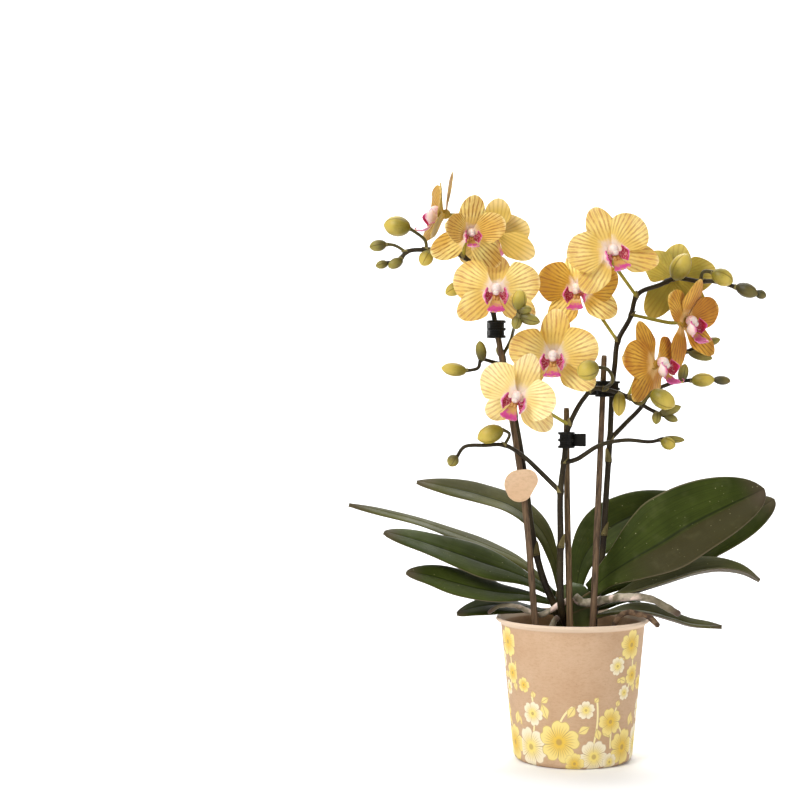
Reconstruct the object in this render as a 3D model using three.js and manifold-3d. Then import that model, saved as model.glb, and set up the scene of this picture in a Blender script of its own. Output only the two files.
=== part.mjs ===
// A potted moth orchid: card cover pot, clear grow pot, bark, crown, leaves, aerial roots, three
// flower spikes on sticks, and eleven yellow blooms with their lips. Millimetres, +Z up, origin at
// the middle of the cover pot's flat base. The blooms face -Y.
import * as THREE from "three";
import { mergeVertices } from "three/addons/utils/BufferGeometryUtils.js";
import Module from "manifold-3d";

const wasm = await Module();
wasm.setup();

// Driving dimensions
const CLEARANCE = 0.3; // between a piece and what it rests on or stands in
const WELD = 1e-4; // corners this close are one corner
const POT_HEIGHT = 88.5;
const POT_BASE_RADIUS = 37;
const POT_TOP_RADIUS = 44.9;
const RIM_RADIUS = 48.2;
const RIM_FLARE_HEIGHT = 5; // the flared collar under the rim's edge
const RIM_EDGE = 1.1; // radius of the rolled edge
const CARD = 1.2; // the pot's wall
const BASE_CORNER = 4;
const POT_SIDES = 32;
const GROW_POT_HEIGHT = 76;
const GROW_POT_WALL = 0.9;
const GROW_POT_GAP = 1.6; // between cover pot and grow pot
const DRAIN_HOLES = 4;
const DRAIN_RADIUS = 4;
const BARK_TOP = 70;
const CHIPS = 12;
const STICK_RADIUS = 2;
const TEPAL = 0.8; // thickness of a sepal or petal
const LIP = 0.9; // thickness of a lip's lobes
const LEAF_MIDDLE = 2.4; // thickness of a leaf along its midrib
const LEAF_EDGE = 0.9;

// ---------------------------------------------------------------- solids and meshes

const vector = (p) => new THREE.Vector3(...p);
const curveThrough = (points) => new THREE.CatmullRomCurve3(points.map(vector), false, "centripetal");
const smooth = (a) => a * a * (3 - 2 * a);
const clamp01 = (a) => Math.min(1, Math.max(0, a));

/** A closed mesh as a solid: corners in one place are joined, and faces without area go. */
function solid(geometry) {
  const bare = geometry.clone();
  bare.deleteAttribute("normal");
  bare.deleteAttribute("uv");
  const merged = mergeVertices(bare, WELD);
  const corners = merged.index.array;
  const kept = [];
  for (let i = 0; i < corners.length; i += 3) {
    const [a, b, c] = [corners[i], corners[i + 1], corners[i + 2]];
    if (a !== b && b !== c && c !== a) kept.push(a, b, c);
  }
  const vertProperties = new Float32Array(merged.attributes.position.array);
  return new wasm.Manifold(
    new wasm.Mesh({ numProp: 3, vertProperties, triVerts: new Uint32Array(kept) }),
  );
}

const joined = (solids) => solids.reduce((whole, piece) => whole.add(piece));

/** The named mesh of a solid, in its own colour. */
function meshOf(name, body, [color, roughness, metalness = 0]) {
  const { vertProperties, triVerts } = body.getMesh();
  const geometry = new THREE.BufferGeometry();
  geometry.setAttribute("position", new THREE.BufferAttribute(vertProperties, 3));
  geometry.setIndex(new THREE.BufferAttribute(triVerts, 1));
  geometry.computeVertexNormals();
  const material = new THREE.MeshStandardMaterial({ color, roughness, metalness });
  const mesh = new THREE.Mesh(geometry, material);
  mesh.name = name;
  return mesh;
}

/** A closed sheet: pointAt(along 0..1, across -1..1, side +1 or -1) gives its two faces. */
function blade(pointAt, alongs, acrosses) {
  const positions = [];
  const index = [];
  const row = acrosses.length;
  const layer = alongs.length * row;
  for (const side of [1, -1]) {
    for (const along of alongs) {
      for (const across of acrosses) positions.push(...pointAt(along, across, side).toArray());
    }
  }
  const quad = (a, b, c, d) => index.push(a, b, c, a, c, d);
  for (let i = 0; i + 1 < alongs.length; i += 1) {
    for (let j = 0; j + 1 < row; j += 1) {
      const [a, b, c, d] = [i * row + j, (i + 1) * row + j, (i + 1) * row + j + 1, i * row + j + 1];
      index.push(a, b, c, a, c, d);
      index.push(layer + a, layer + c, layer + b, layer + a, layer + d, layer + c);
    }
    const [first, next] = [i * row, (i + 1) * row];
    quad(first, layer + first, layer + next, next);
    quad(next + row - 1, layer + next + row - 1, layer + first + row - 1, first + row - 1);
  }
  for (let j = 0; j + 1 < row; j += 1) {
    const end = layer - row + j;
    quad(j + 1, layer + j + 1, layer + j, j);
    quad(end, layer + end, layer + end + 1, end + 1);
  }
  const geometry = new THREE.BufferGeometry();
  geometry.setAttribute("position", new THREE.Float32BufferAttribute(positions, 3));
  geometry.setIndex(index);
  return geometry;
}

/** A closed round stem along a curve, with a radius that changes from root to tip. */
function stem(points, rootRadius, tipRadius, steps, sides) {
  const curve = curveThrough(points);
  const frames = curve.computeFrenetFrames(steps, false);
  const positions = [];
  const index = [];
  for (let i = 0; i <= steps; i += 1) {
    const centre = curve.getPointAt(i / steps);
    const radius = THREE.MathUtils.lerp(rootRadius, tipRadius, i / steps);
    for (let k = 0; k < sides; k += 1) {
      const angle = (2 * Math.PI * k) / sides;
      const out = frames.normals[i].clone().multiplyScalar(Math.cos(angle) * radius);
      out.addScaledVector(frames.binormals[i], Math.sin(angle) * radius);
      positions.push(...centre.clone().add(out).toArray());
    }
  }
  for (let i = 0; i < steps; i += 1) {
    for (let k = 0; k < sides; k += 1) {
      const [a, b] = [i * sides + k, i * sides + ((k + 1) % sides)];
      index.push(a, b, b + sides, a, b + sides, a + sides);
    }
  }
  const last = steps * sides;
  for (let k = 1; k + 1 < sides; k += 1) {
    index.push(0, k + 1, k);
    index.push(last, last + k, last + k + 1);
  }
  const geometry = new THREE.BufferGeometry();
  geometry.setAttribute("position", new THREE.Float32BufferAttribute(positions, 3));
  geometry.setIndex(index);
  return solid(geometry);
}

/** A turned form from [radius, height] points, which starts and ends on the axis, along +Z. */
function turned(profile, sides) {
  const points = profile.map(([radius, height]) => new THREE.Vector2(radius, height));
  return new THREE.LatheGeometry(points, sides).rotateX(Math.PI / 2);
}

/** A turned form whose axis runs from one point towards another. */
function turnedAlong(profile, sides, from, to) {
  const direction = vector(to).sub(vector(from)).normalize();
  const turn = new THREE.Quaternion().setFromUnitVectors(new THREE.Vector3(0, 0, 1), direction);
  return solid(turned(profile, sides).applyQuaternion(turn).translate(...from));
}

/** An orchid bud: a plump egg with a blunt tip, from its stalk to its tip. */
function bud(from, to, radius) {
  const length = vector(to).distanceTo(vector(from));
  const profile = [
    [0, 0],
    [0.62 * radius, 0.12 * length],
    [radius, 0.45 * length],
    [0.8 * radius, 0.8 * length],
    [0, length],
  ];
  return turnedAlong(profile, 6, from, to);
}

// ---------------------------------------------------------------- pot and bark

const potRadius = (height) =>
  THREE.MathUtils.lerp(POT_BASE_RADIUS, POT_TOP_RADIUS, height / (POT_HEIGHT - RIM_FLARE_HEIGHT));

/** The card cover pot: tapering wall, rounded foot, flat closed bottom and flared rolled rim. */
function coverPot() {
  const top = POT_HEIGHT - RIM_FLARE_HEIGHT;
  const edge = { radius: RIM_RADIUS - RIM_EDGE, height: POT_HEIGHT - RIM_EDGE };
  const outline = [[0, 0]];
  for (const angle of [0, 45, 90]) {
    const turn = THREE.MathUtils.degToRad(angle);
    const radius = potRadius(BASE_CORNER) - BASE_CORNER * (1 - Math.sin(turn));
    outline.push([radius, BASE_CORNER * (1 - Math.cos(turn))]);
  }
  outline.push([potRadius(top), top]);
  outline.push([edge.radius - 0.6, edge.height - 1.4]);
  for (const angle of [-40, 20, 80, 140]) {
    const turn = THREE.MathUtils.degToRad(angle);
    const radius = edge.radius + RIM_EDGE * Math.cos(turn);
    outline.push([radius, edge.height + RIM_EDGE * Math.sin(turn)]);
  }
  outline.push([potRadius(top) - CARD, top + 0.4]);
  outline.push([potRadius(BASE_CORNER) - CARD, BASE_CORNER]);
  outline.push([potRadius(BASE_CORNER) - BASE_CORNER, CARD]);
  outline.push([0, CARD]);
  return solid(turned(outline, POT_SIDES));
}

/** Inside the cover pot's wall, less a gap. */
const growRadius = (height) => potRadius(height) - CARD - GROW_POT_GAP;

/** The clear grow pot, with a ring of drain holes in its floor. */
function growPot() {
  const floor = CARD + CLEARANCE;
  const outline = [
    [0, floor],
    [growRadius(floor) - 4, floor],
    [growRadius(floor + 4), floor + 4],
    [growRadius(GROW_POT_HEIGHT), GROW_POT_HEIGHT],
    [growRadius(GROW_POT_HEIGHT) - GROW_POT_WALL, GROW_POT_HEIGHT],
    [growRadius(floor + 4) - GROW_POT_WALL, floor + 4],
    [growRadius(floor) - 4 - GROW_POT_WALL, floor + GROW_POT_WALL],
    [0, floor + GROW_POT_WALL],
  ];
  let pot = solid(turned(outline, POT_SIDES / 2));
  for (let i = 0; i < DRAIN_HOLES; i += 1) {
    const turn = (2 * Math.PI * i) / DRAIN_HOLES;
    const hole = new THREE.CylinderGeometry(DRAIN_RADIUS, DRAIN_RADIUS, 8, 8).rotateX(Math.PI / 2);
    hole.translate(20 * Math.cos(turn), 20 * Math.sin(turn), floor);
    pot = pot.subtract(solid(hole));
  }
  return pot;
}

/** A seeded draw between 0 and 1, the same each run. */
function drawFrom(seed) {
  let state = seed;
  return () => {
    state = (state * 1664525 + 1013904223) % 4294967296;
    return state / 4294967296;
  };
}

/** Bark chips round the roots: a packed body whose top is a layer of tilted chips. */
function barkMix(holes) {
  const low = CARD + CLEARANCE + GROW_POT_WALL + CLEARANCE;
  const inside = (height) => growRadius(height) - GROW_POT_WALL - CLEARANCE - 0.6;
  const outline = [
    [0, low],
    [inside(low) - 5, low],
    [inside(low + 5), low + 5],
    [inside(BARK_TOP), BARK_TOP],
    [0, BARK_TOP],
  ];
  let mix = solid(turned(outline, POT_SIDES / 2));
  const draw = drawFrom(7);
  for (let i = 0; i < CHIPS; i += 1) {
    const reach = (inside(BARK_TOP) - 8) * Math.sqrt((i + 0.5) / CHIPS);
    const turn = i * 2.39996 + draw();
    const chip = new THREE.BoxGeometry(7 + 6 * draw(), 5 + 4 * draw(), 3 + 2.5 * draw());
    chip.rotateX(draw() - 0.5).rotateY(draw() - 0.5).rotateZ(6.3 * draw());
    chip.translate(reach * Math.cos(turn), reach * Math.sin(turn), BARK_TOP + 0.3 + draw());
    mix = mix.add(solid(chip));
  }
  const bodies = mix.subtract(joined(holes)).decompose();
  return bodies.reduce((largest, body) => (body.volume() > largest.volume() ? body : largest));
}

// ---------------------------------------------------------------- leaves and crown

// Each leaf: midrib from crown to tip, half-width, which way its upper face looks at its root and
// at its tip, and how far its two halves are folded up along the midrib (degrees).
const LEAVES = [
  {
    name: "leaf_left_upper",
    midrib: [
      [-7.2, 10.9, 105.3], [-11, 13, 123], [-19, 14, 141], [-35, 19, 155], [-57, 24, 163], [-78, 27, 168],
      [-98, 29, 172],
    ],
    halfWidth: 16,
    face: [[0.8, -0.5, 0.5], [0.2, -0.45, 0.9]],
    fold: 14,
  },
  {
    name: "leaf_left_back",
    midrib: [
      [-7.5, 12.5, 99], [-29, 25, 119], [-51, 33, 129], [-73, 38, 137], [-96, 39, 145], [-118, 37, 151],
      [-142, 34, 157],
    ],
    halfWidth: 12,
    face: [[0.35, -0.2, 0.9], [0.2, -0.3, 0.95]],
    fold: 8,
  },
  {
    name: "leaf_left_front",
    midrib: [[-10.5, 6, 102], [-33, 9, 113], [-56, 8, 121], [-78, 4, 129], [-98, 0, 136], [-119, -5, 142]],
    halfWidth: 18,
    face: [[0.4, -0.5, 0.85], [0.2, -0.5, 0.9]],
    fold: 8,
  },
  {
    name: "leaf_left_lower",
    midrib: [
      [-11.3, 3.3, 97], [-30, 4, 101], [-46, 0, 103], [-60, -4, 106], [-74, -8, 110], [-90, -12, 115],
      [-105, -16, 118],
    ],
    halfWidth: 16,
    face: [[0.1, -0.35, 0.95], [-0.15, -0.6, 0.8]],
    fold: 12,
  },
  {
    name: "leaf_left_rim",
    midrib: [[-10.8, 9.3, 90], [-33, 9, 93], [-48, 6, 94.5], [-61, 4, 93], [-73, 2, 90]],
    halfWidth: 13,
    face: [[0, -0.2, 1], [-0.2, -0.45, 0.95]],
    fold: 8,
  },
  {
    name: "leaf_right_front",
    midrib: [
      [12, 3, 104], [22, 0, 114], [39, -6, 126], [54, -8, 135], [73, -9, 147], [95, -8, 158],
      [120, -4, 169],
    ],
    halfWidth: 27,
    face: [[-0.3, -0.8, 0.5], [-0.2, -0.85, 0.45]],
    fold: 22,
  },
  {
    name: "leaf_right_under",
    midrib: [
      [11.4, 12.8, 100], [22, 14.5, 106], [36, 15, 114], [60, 17, 127], [86, 19, 139], [112, 20, 150],
      [132, 20, 161],
    ],
    halfWidth: 23,
    face: [[-0.2, -0.7, 0.6], [-0.2, -0.8, 0.55]],
    fold: 12,
  },
  {
    name: "leaf_right_back",
    midrib: [[3.8, 14.1, 103.5], [10, 27, 122], [24, 37, 138], [45, 44, 149], [68, 48, 155], [87, 50, 158]],
    halfWidth: 19,
    face: [[-0.4, -0.8, 0.4], [-0.3, -0.8, 0.55]],
    fold: 12,
  },
  {
    name: "leaf_right_arched",
    midrib: [
      [12.9, -0.9, 95], [27, -5, 101], [40, -9, 106], [57, -13, 112], [75, -16, 118], [90, -17, 120],
      [104, -16, 118], [115, -14, 113],
    ],
    halfWidth: 14,
    face: [[-0.2, -0.25, 0.95], [0.2, -0.3, 0.9]],
    fold: 30,
  },
  {
    name: "leaf_right_rim",
    midrib: [
      [11.5, -2, 88], [24, -1, 91], [36, 0, 92], [48, 0, 91], [63, -2, 87], [74, -4, 84], [93, -6, 83],
    ],
    halfWidth: 10,
    face: [[0, -0.2, 1], [0.1, -0.3, 0.95]],
    fold: 24,
  },
  {
    name: "leaf_right_small",
    midrib: [[9.6, 12.2, 89], [20, 18, 93], [30, 20, 96], [40, 22, 96], [49, 24, 92]],
    halfWidth: 8,
    face: [[0, -0.2, 1], [0.2, -0.3, 0.95]],
    fold: 16,
  },
];
const LEAF_ALONGS = [0, 0.16, 0.33, 0.52, 0.72, 0.9, 1];
const LEAF_ACROSSES = [-1, -0.5, 0, 0.5, 1];

/** A leaf's half-width along it, as a share: clasping root, broad middle, blunt pointed tip. */
const leafOutline = (along) =>
  (0.22 + 0.78 * smooth(clamp01(along / 0.5))) * Math.sqrt(Math.max(0, 1 - along ** 3.4)) + 0.02;

/** A leaf: a thick blade folded along its midrib, which turns from its root face to its tip face. */
function leaf({ midrib, halfWidth, face, fold }) {
  const curve = curveThrough(midrib);
  const [rootFace, tipFace] = face.map(vector);
  const tilt = Math.tan(THREE.MathUtils.degToRad(fold));
  const pointAt = (along, across, side) => {
    const heading = curve.getTangentAt(along);
    const up = rootFace.clone().lerp(tipFace, along);
    up.addScaledVector(heading, -up.dot(heading)).normalize();
    const sideways = new THREE.Vector3().crossVectors(up, heading);
    const reach = halfWidth * leafOutline(along) * across;
    const thick = THREE.MathUtils.lerp(LEAF_MIDDLE, LEAF_EDGE, Math.abs(across));
    const rise = tilt * Math.abs(reach) + (side * thick) / 2;
    return curve.getPointAt(along).addScaledVector(sideways, reach).addScaledVector(up, rise);
  };
  return solid(blade(pointAt, LEAF_ALONGS, LEAF_ACROSSES));
}

const CROWN_AT = [1, 5, 0];
const CROWN_FLAT = 0.72; // its depth against its width
const CROWN = [[5, 50], [9, 60], [11, 76], [11.6, 88], [11.6, 98], [10.4, 104], [7, 108]];
const CROWN_ENDS = [48.5, 109.5]; // heights of its lowest and highest point

/** The crown's form, as wide as it is or with room round it, from bottom to top height. */
function crownForm(extra) {
  const [low, high] = CROWN_ENDS;
  const profile = CROWN.map(([radius, height]) => [radius + extra, height]);
  const outline = [[0, low - extra], ...profile, [0, high + extra]];
  return solid(turned(outline, 14).scale(1, CROWN_FLAT, 1).translate(...CROWN_AT));
}

/** The crown: a short upright stem, flat across the leaves' two ranks, with a niche a spike. */
const crown = () =>
  SPIKES.reduce((body, { stems: [main] }) => {
    const [rootRadius, tipRadius] = main.radii;
    const route = deepened(main.route, CLEARANCE);
    const room = stem(route, rootRadius + CLEARANCE, tipRadius + CLEARANCE, main.steps, 5);
    return body.subtract(room);
  }, crownForm(0));

// ---------------------------------------------------------------- roots

const ROOTS = [
  {
    name: "root_left",
    route: [
      [-3.8, -4.5, 99], [-8, -8, 97.5], [-13, -10.2, 95], [-21, -10, 91], [-28, -10, 93], [-35, -10, 96],
      [-43, -10, 97], [-48, -10, 96], [-54, -11, 92],
    ],
    radii: [2, 1.2],
  },
  {
    name: "root_right",
    route: [
      [1, -5.7, 102], [5, -8, 98.5], [12, -9.5, 99], [20, -13, 101], [31, -18, 103], [42, -20, 103],
      [49, -20, 101], [56, -19, 97], [65, -18, 92],
    ],
    radii: [2.6, 2.2],
  },
  {
    name: "root_dry",
    route: [[22, -20, 66], [24, -23, 88], [30, -24, 94], [38, -26, 93.5], [44, -27, 92], [50, -29, 86]],
    radii: [1.5, 1.9],
    inBark: true,
  },
  {
    name: "root_tip",
    route: [[-16, -10, 66], [-15, -14, 80], [-13, -17, 88], [-10.5, -18.5, 91]],
    radii: [2.2, 1.8],
    inBark: true,
  },
];

/** A route whose first point lies lower, so that a hole is deeper than what stands in it. */
const deepened = ([[x, y, z], ...rest], extra) => [[x, y, z - extra], ...rest];

/** An aerial root, as thick as it is or with room round it. */
const root = ({ route, radii }, extra = 0) =>
  stem(deepened(route, extra), radii[0] + extra, radii[1] + extra, 9, 6);

// ---------------------------------------------------------------- sticks, clips and tag

const STICKS = [
  { name: "stick_left", route: [[-19, -18, 14], [-25.5, -16, 95], [-31, -10, 161], [-48, -3, 271]] },
  { name: "stick_middle", route: [[-2, -16, 14], [-3.5, -13, 110], [-4, -7, 160], [-4, -2, 220]] },
  { name: "stick_right", route: [[7, -19, 14], [11.5, -16.5, 100], [17, -7, 200], [20, 0, 253]] },
];
const stick = ({ route }, extra = 0) =>
  stem(deepened(route, extra), STICK_RADIUS + 0.2 + extra, STICK_RADIUS - 0.2 + extra, 3, 7);

// Each clip closes round a stick and a spike at a height; its finger tabs point to grip (degrees).
const CLIPS = [
  { name: "clip_left", ends: ["stick_left", "spike_left"], height: 269.5, tall: 11, grip: 95, inside: 3.7 },
  {
    name: "clip_middle", ends: ["stick_middle", "spike_middle"], height: 200, tall: 10, grip: -8,
    inside: 3,
  },
  {
    name: "clip_right", ends: ["stick_right", "spike_right"], height: 232, tall: 10, grip: 150,
    inside: 2.9,
  },
];
const CLIP_WALL = 1.1;
const CLIP_RIB = 1; // how far the three ribs stand out
const CLIP_GRIP = 9; // length of the two finger tabs

/** Where a stick or a spike's main stem passes a height. */
function passing(name, height) {
  const stickRoute = STICKS.find((entry) => entry.name === name)?.route;
  const curve = curveThrough(stickRoute ?? SPIKES.find((entry) => entry.name === name).stems[0].route);
  const found = curve.getSpacedPoints(400).find((point) => point.z >= height);
  return [found.x, found.y];
}

/** A long loop round two middles, as a ring of the given inner and outer radius. */
function loopShape([a, b], inner, outer) {
  const ahead = Math.atan2(b[1] - a[1], b[0] - a[0]);
  const trace = (path, radius) => {
    path.absarc(b[0], b[1], radius, ahead - Math.PI / 2, ahead + Math.PI / 2, false);
    path.absarc(a[0], a[1], radius, ahead + Math.PI / 2, ahead + 1.5 * Math.PI, false);
    path.closePath();
    return path;
  };
  const shape = trace(new THREE.Shape(), outer);
  shape.holes.push(trace(new THREE.Path(), inner));
  return shape;
}

/** A shape extruded upwards from a height. */
function raised(shape, low, tall, curveSegments) {
  const options = { depth: tall, bevelEnabled: false, curveSegments };
  return new THREE.ExtrudeGeometry(shape, options).translate(0, 0, low);
}

/** A ribbed black clip with two finger tabs. */
function clip({ ends, height, tall, grip, inside }) {
  const round = ends.map((name) => passing(name, height));
  const low = height - tall / 2;
  const outer = inside + CLIP_WALL;
  const parts = [solid(raised(loopShape(round, inside, outer), low, tall, 2))];
  for (const share of [0, 0.5, 1]) {
    const ribLow = low + share * (tall - 1.6);
    parts.push(solid(raised(loopShape(round, inside, outer + CLIP_RIB), ribLow, 1.6, 2)));
  }
  const middle = [(round[0][0] + round[1][0]) / 2, (round[0][1] + round[1][1]) / 2];
  for (const spread of [-16, 16]) {
    const tab = new THREE.BoxGeometry(CLIP_GRIP, 1.4, tall * 0.8);
    tab.translate(CLIP_GRIP / 2 + outer - 0.6, 0, 0);
    tab.rotateZ(THREE.MathUtils.degToRad(grip + spread)).translate(...middle, height);
    parts.push(solid(tab));
  }
  return joined(parts);
}

// The tag: a bare card disc of rounded three-cornered outline, on a band round the left stick.
const TAG = { height: 172, aside: -0.9, thick: 0.8, band: 5, loose: 1.2 };
const TAG_CORNERS = [
  { at: [-1.5, 0.5], radius: 9, from: 100, to: 215 },
  { at: [-1, -2], radius: 8.5, from: 215, to: 320 },
  { at: [3.8, 3.2], radius: 6.8, from: -40, to: 100 },
];

/** The tag: its card and the band that holds it. */
function tag() {
  const outline = new THREE.Shape();
  for (const { at, radius, from, to } of TAG_CORNERS) {
    const [start, end] = [from, to].map(THREE.MathUtils.degToRad);
    outline.absarc(...at, radius, start, end, false);
  }
  outline.closePath();
  const [x, y] = passing("stick_left", TAG.height);
  const inner = STICK_RADIUS + TAG.loose;
  const card = raised(outline, 0, TAG.thick, 3).rotateX(Math.PI / 2);
  card.translate(x + TAG.aside, y - inner, TAG.height);
  const ring = loopShape([[x, y], [x, y]], inner, inner + TAG.thick);
  const band = raised(ring, TAG.height - TAG.band / 2, TAG.band, 3);
  return solid(card).add(solid(band));
}

// ---------------------------------------------------------------- flower spikes

// Each spike: its stems, with their radii at root and tip, and its buds as [from, to, radius].
const SPIKES = [
  {
    name: "spike_left",
    stems: [
      {
        route: [
          [-8.6, -1.4, 84], [-12, -4, 96], [-17, -5, 108], [-21, -4, 120], [-26, -3, 143],
          [-30, -2, 175], [-36, -1, 212], [-43, 1, 247], [-47.4, 1.4, 266], [-51, 1, 285],
          [-58, -2, 303], [-69, -4, 315], [-80, -5, 318], [-92, -6, 319], [-104, -6, 318],
          [-110, -5, 312], [-117, -4, 311],
        ],
        radii: [2.3, 1.3],
        steps: 20,
      },
      {
        route: [
          [-43, 1, 247], [-50, 1, 249], [-58, -6, 250], [-60, -9, 245], [-69, -10, 243],
        ],
        radii: [1.3, 1], steps: 5,
      },
      {
        route: [
          [-44, 1, 253], [-39.5, -4, 262], [-38, -20, 270], [-37, -38, 271], [-37, -41, 280],
        ],
        radii: [1.1, 1], steps: 5,
      },
      { route: [[-58, -2, 303], [-64, 2, 300], [-70, 3, 297]], radii: [1, 1], steps: 2 },
      { route: [[-92, -6, 318], [-93, -5, 325], [-103, -4, 333]], radii: [1.1, 1], steps: 3 },
      { route: [[-104, -6, 317], [-112, -4, 322], [-119, -3, 323]], radii: [1, 1], steps: 3 },
    ],
    buds: [
      [[-102, -4, 333], [-119, -4, 335], 6.6],
      [[-117, -3, 323], [-128, -3, 321], 3.8],
      [[-90, -7, 318], [-95, -10, 309], 4.6],
      [[-107, -6, 313], [-116, -9, 308], 3.4],
      [[-116, -4, 311], [-124, -4, 309], 2.8],
      [[-67, -10, 243], [-83, -12, 245], 4.3],
      [[-57, -6, 249], [-59, -8, 262], 3.5],
      [[-37, -39, 279], [-36, -42, 292], 4.6],
      [[-38, -39, 279], [-29, -42, 280], 3],
      [[-37, -37, 276], [-39, -42, 268], 3.4],
      [[-37, -38, 276], [-24, -42, 272], 3.6],
      [[-69, 3, 298], [-80, 2, 292], 4.3],
      [[-43.5, 2.5, 251], [-47, 7, 259], 2.4],
    ],
  },
  {
    name: "spike_middle",
    stems: [
      {
        route: [
          [-3.5, -4.2, 82], [-7, -11, 90], [-9, -15, 100], [-9, -15, 138], [-9, -14, 168],
          [-6.5, -11.5, 187], [-4, -9, 206], [0, -9, 216], [6, -10, 226], [12, -11, 232],
          [22, -12, 231], [35, -13, 226], [47, -14, 219], [56, -14, 215],
        ],
        radii: [2.4, 1.2],
        steps: 16,
      },
      {
        route: [
          [-9, -14, 168], [-15, -11, 174], [-22, -9, 181], [-32, -14, 190], [-44, -18, 197],
          [-56, -19, 197], [-69, -20, 196], [-74, -20, 189],
        ],
        radii: [1.6, 1.1], steps: 8,
      },
      {
        route: [
          [-7, -12, 186], [1, -12, 188], [16, -12, 197], [32, -11, 200], [48, -10, 199], [56, -10, 201],
        ],
        radii: [1.6, 1.1], steps: 6,
      },
      { route: [[-44, -18, 197], [-41, -19, 204], [-46, -21, 207]], radii: [1, 1], steps: 3 },
      {
        route: [[18, -12, 231.5], [22, -26, 237], [17, -36, 244], [10, -38, 245]], radii: [1.1, 1.1],
        steps: 4,
      },
      { route: [[34, -13, 226.5], [39, -24, 222.5], [46, -29, 230]], radii: [1, 1], steps: 3 },
    ],
    buds: [
      [[-45, -21, 207], [-61, -23, 201], 5.8],
      [[-74, -20, 191], [-78, -20, 184], 3.8],
      [[54, -10, 200], [63, -11, 196], 4.2],
      [[55, -10, 201], [69, -10, 200], 2.4],
      [[11, -38, 246], [-1, -44, 240], 6.4],
      [[28, -12.5, 230], [27, -17, 215], 4.2],
      [[45, -28, 230], [59, -32, 221], 6],
      [[51, -14, 218], [50, -17, 210], 3],
      [[52, -14, 216], [66, -14, 221], 3.2],
      [[55, -14, 216], [64, -14, 212], 2.6],
    ],
  },
  {
    name: "spike_right",
    stems: [
      {
        route: [
          [13.8, 4, 82], [15, 5, 96], [18, 6, 109], [20, 6, 136], [22, 5, 168], [24, 4, 200],
          [25.4, 2.7, 233], [27, 3, 247], [29, 4, 262], [37, 5, 277], [42, 6, 292], [56, 5, 298],
          [66, 5, 302], [81, 4, 300], [89, 3, 300], [104, 1, 296], [117, 0, 292],
        ],
        radii: [2.2, 1.3],
        steps: 18,
      },
      {
        route: [
          [24, 4, 200], [34, 6, 210], [44, 8, 220], [50, 9, 229], [62, 10, 235], [70, 9, 237],
          [92, 7, 238],
        ],
        radii: [1.6, 1.1], steps: 7,
      },
      { route: [[81, 4, 300], [83, 2, 306], [91, 1, 305]], radii: [1.1, 1.1], steps: 3 },
      { route: [[50, 9, 229], [60, 14, 243], [72, 18, 254], [88, 20, 262]], radii: [1.3, 1.1], steps: 4 },
    ],
    buds: [
      [[65, 4.5, 300.8], [72, -1, 317], 6.6],
      [[88, 1, 305.5], [101, 0, 299], 5.6],
      [[103, 1, 297], [116, -3, 291], 4.6],
      [[115, 0, 293], [122, 0, 290], 3],
      [[76, 8.5, 237.3], [91, 7, 238], 4.6],
      [[90, 7, 238], [101, 7, 237], 3],
      [[70, 9, 236.5], [72, 6, 248], 3.4],
      [[86, 20, 261], [97, 20, 264], 2.8],
      [[76, 18.7, 255.5], [92, 20, 251.5], 3.2],
    ],
  },
];

/** A pedicel leaves its spike at a point and reaches the back of a bloom square on. */
function pedicelTo(bloom) {
  const facing = frameOf(bloom).facing;
  const back = (distance) => vector(bloom.at).addScaledVector(facing, -distance).toArray();
  return stem([bloom.from, back(9), back(HUB_BACK + CLEARANCE)], 1.1, 1.1, 4, 4);
}

/** A spike: its stems, its buds and the pedicels of the blooms that grow on it, as one body. */
function spike({ name, stems, buds }) {
  const limbs = stems.map(({ route, radii, steps }) => stem(route, ...radii, steps, 5));
  const tips = buds.map(([from, to, radius]) => bud(from, to, radius));
  const pedicels = BLOOMS.filter((bloom) => bloom.spike === name).map(pedicelTo);
  return joined([...limbs, ...tips, ...pedicels]);
}

// ---------------------------------------------------------------- blooms

const HUB_RADIUS = 3.2;
const HUB_SET_BACK = 0.8; // the hub's middle lies this far behind the bloom's middle
const HUB_BACK = HUB_RADIUS + HUB_SET_BACK;

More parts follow.
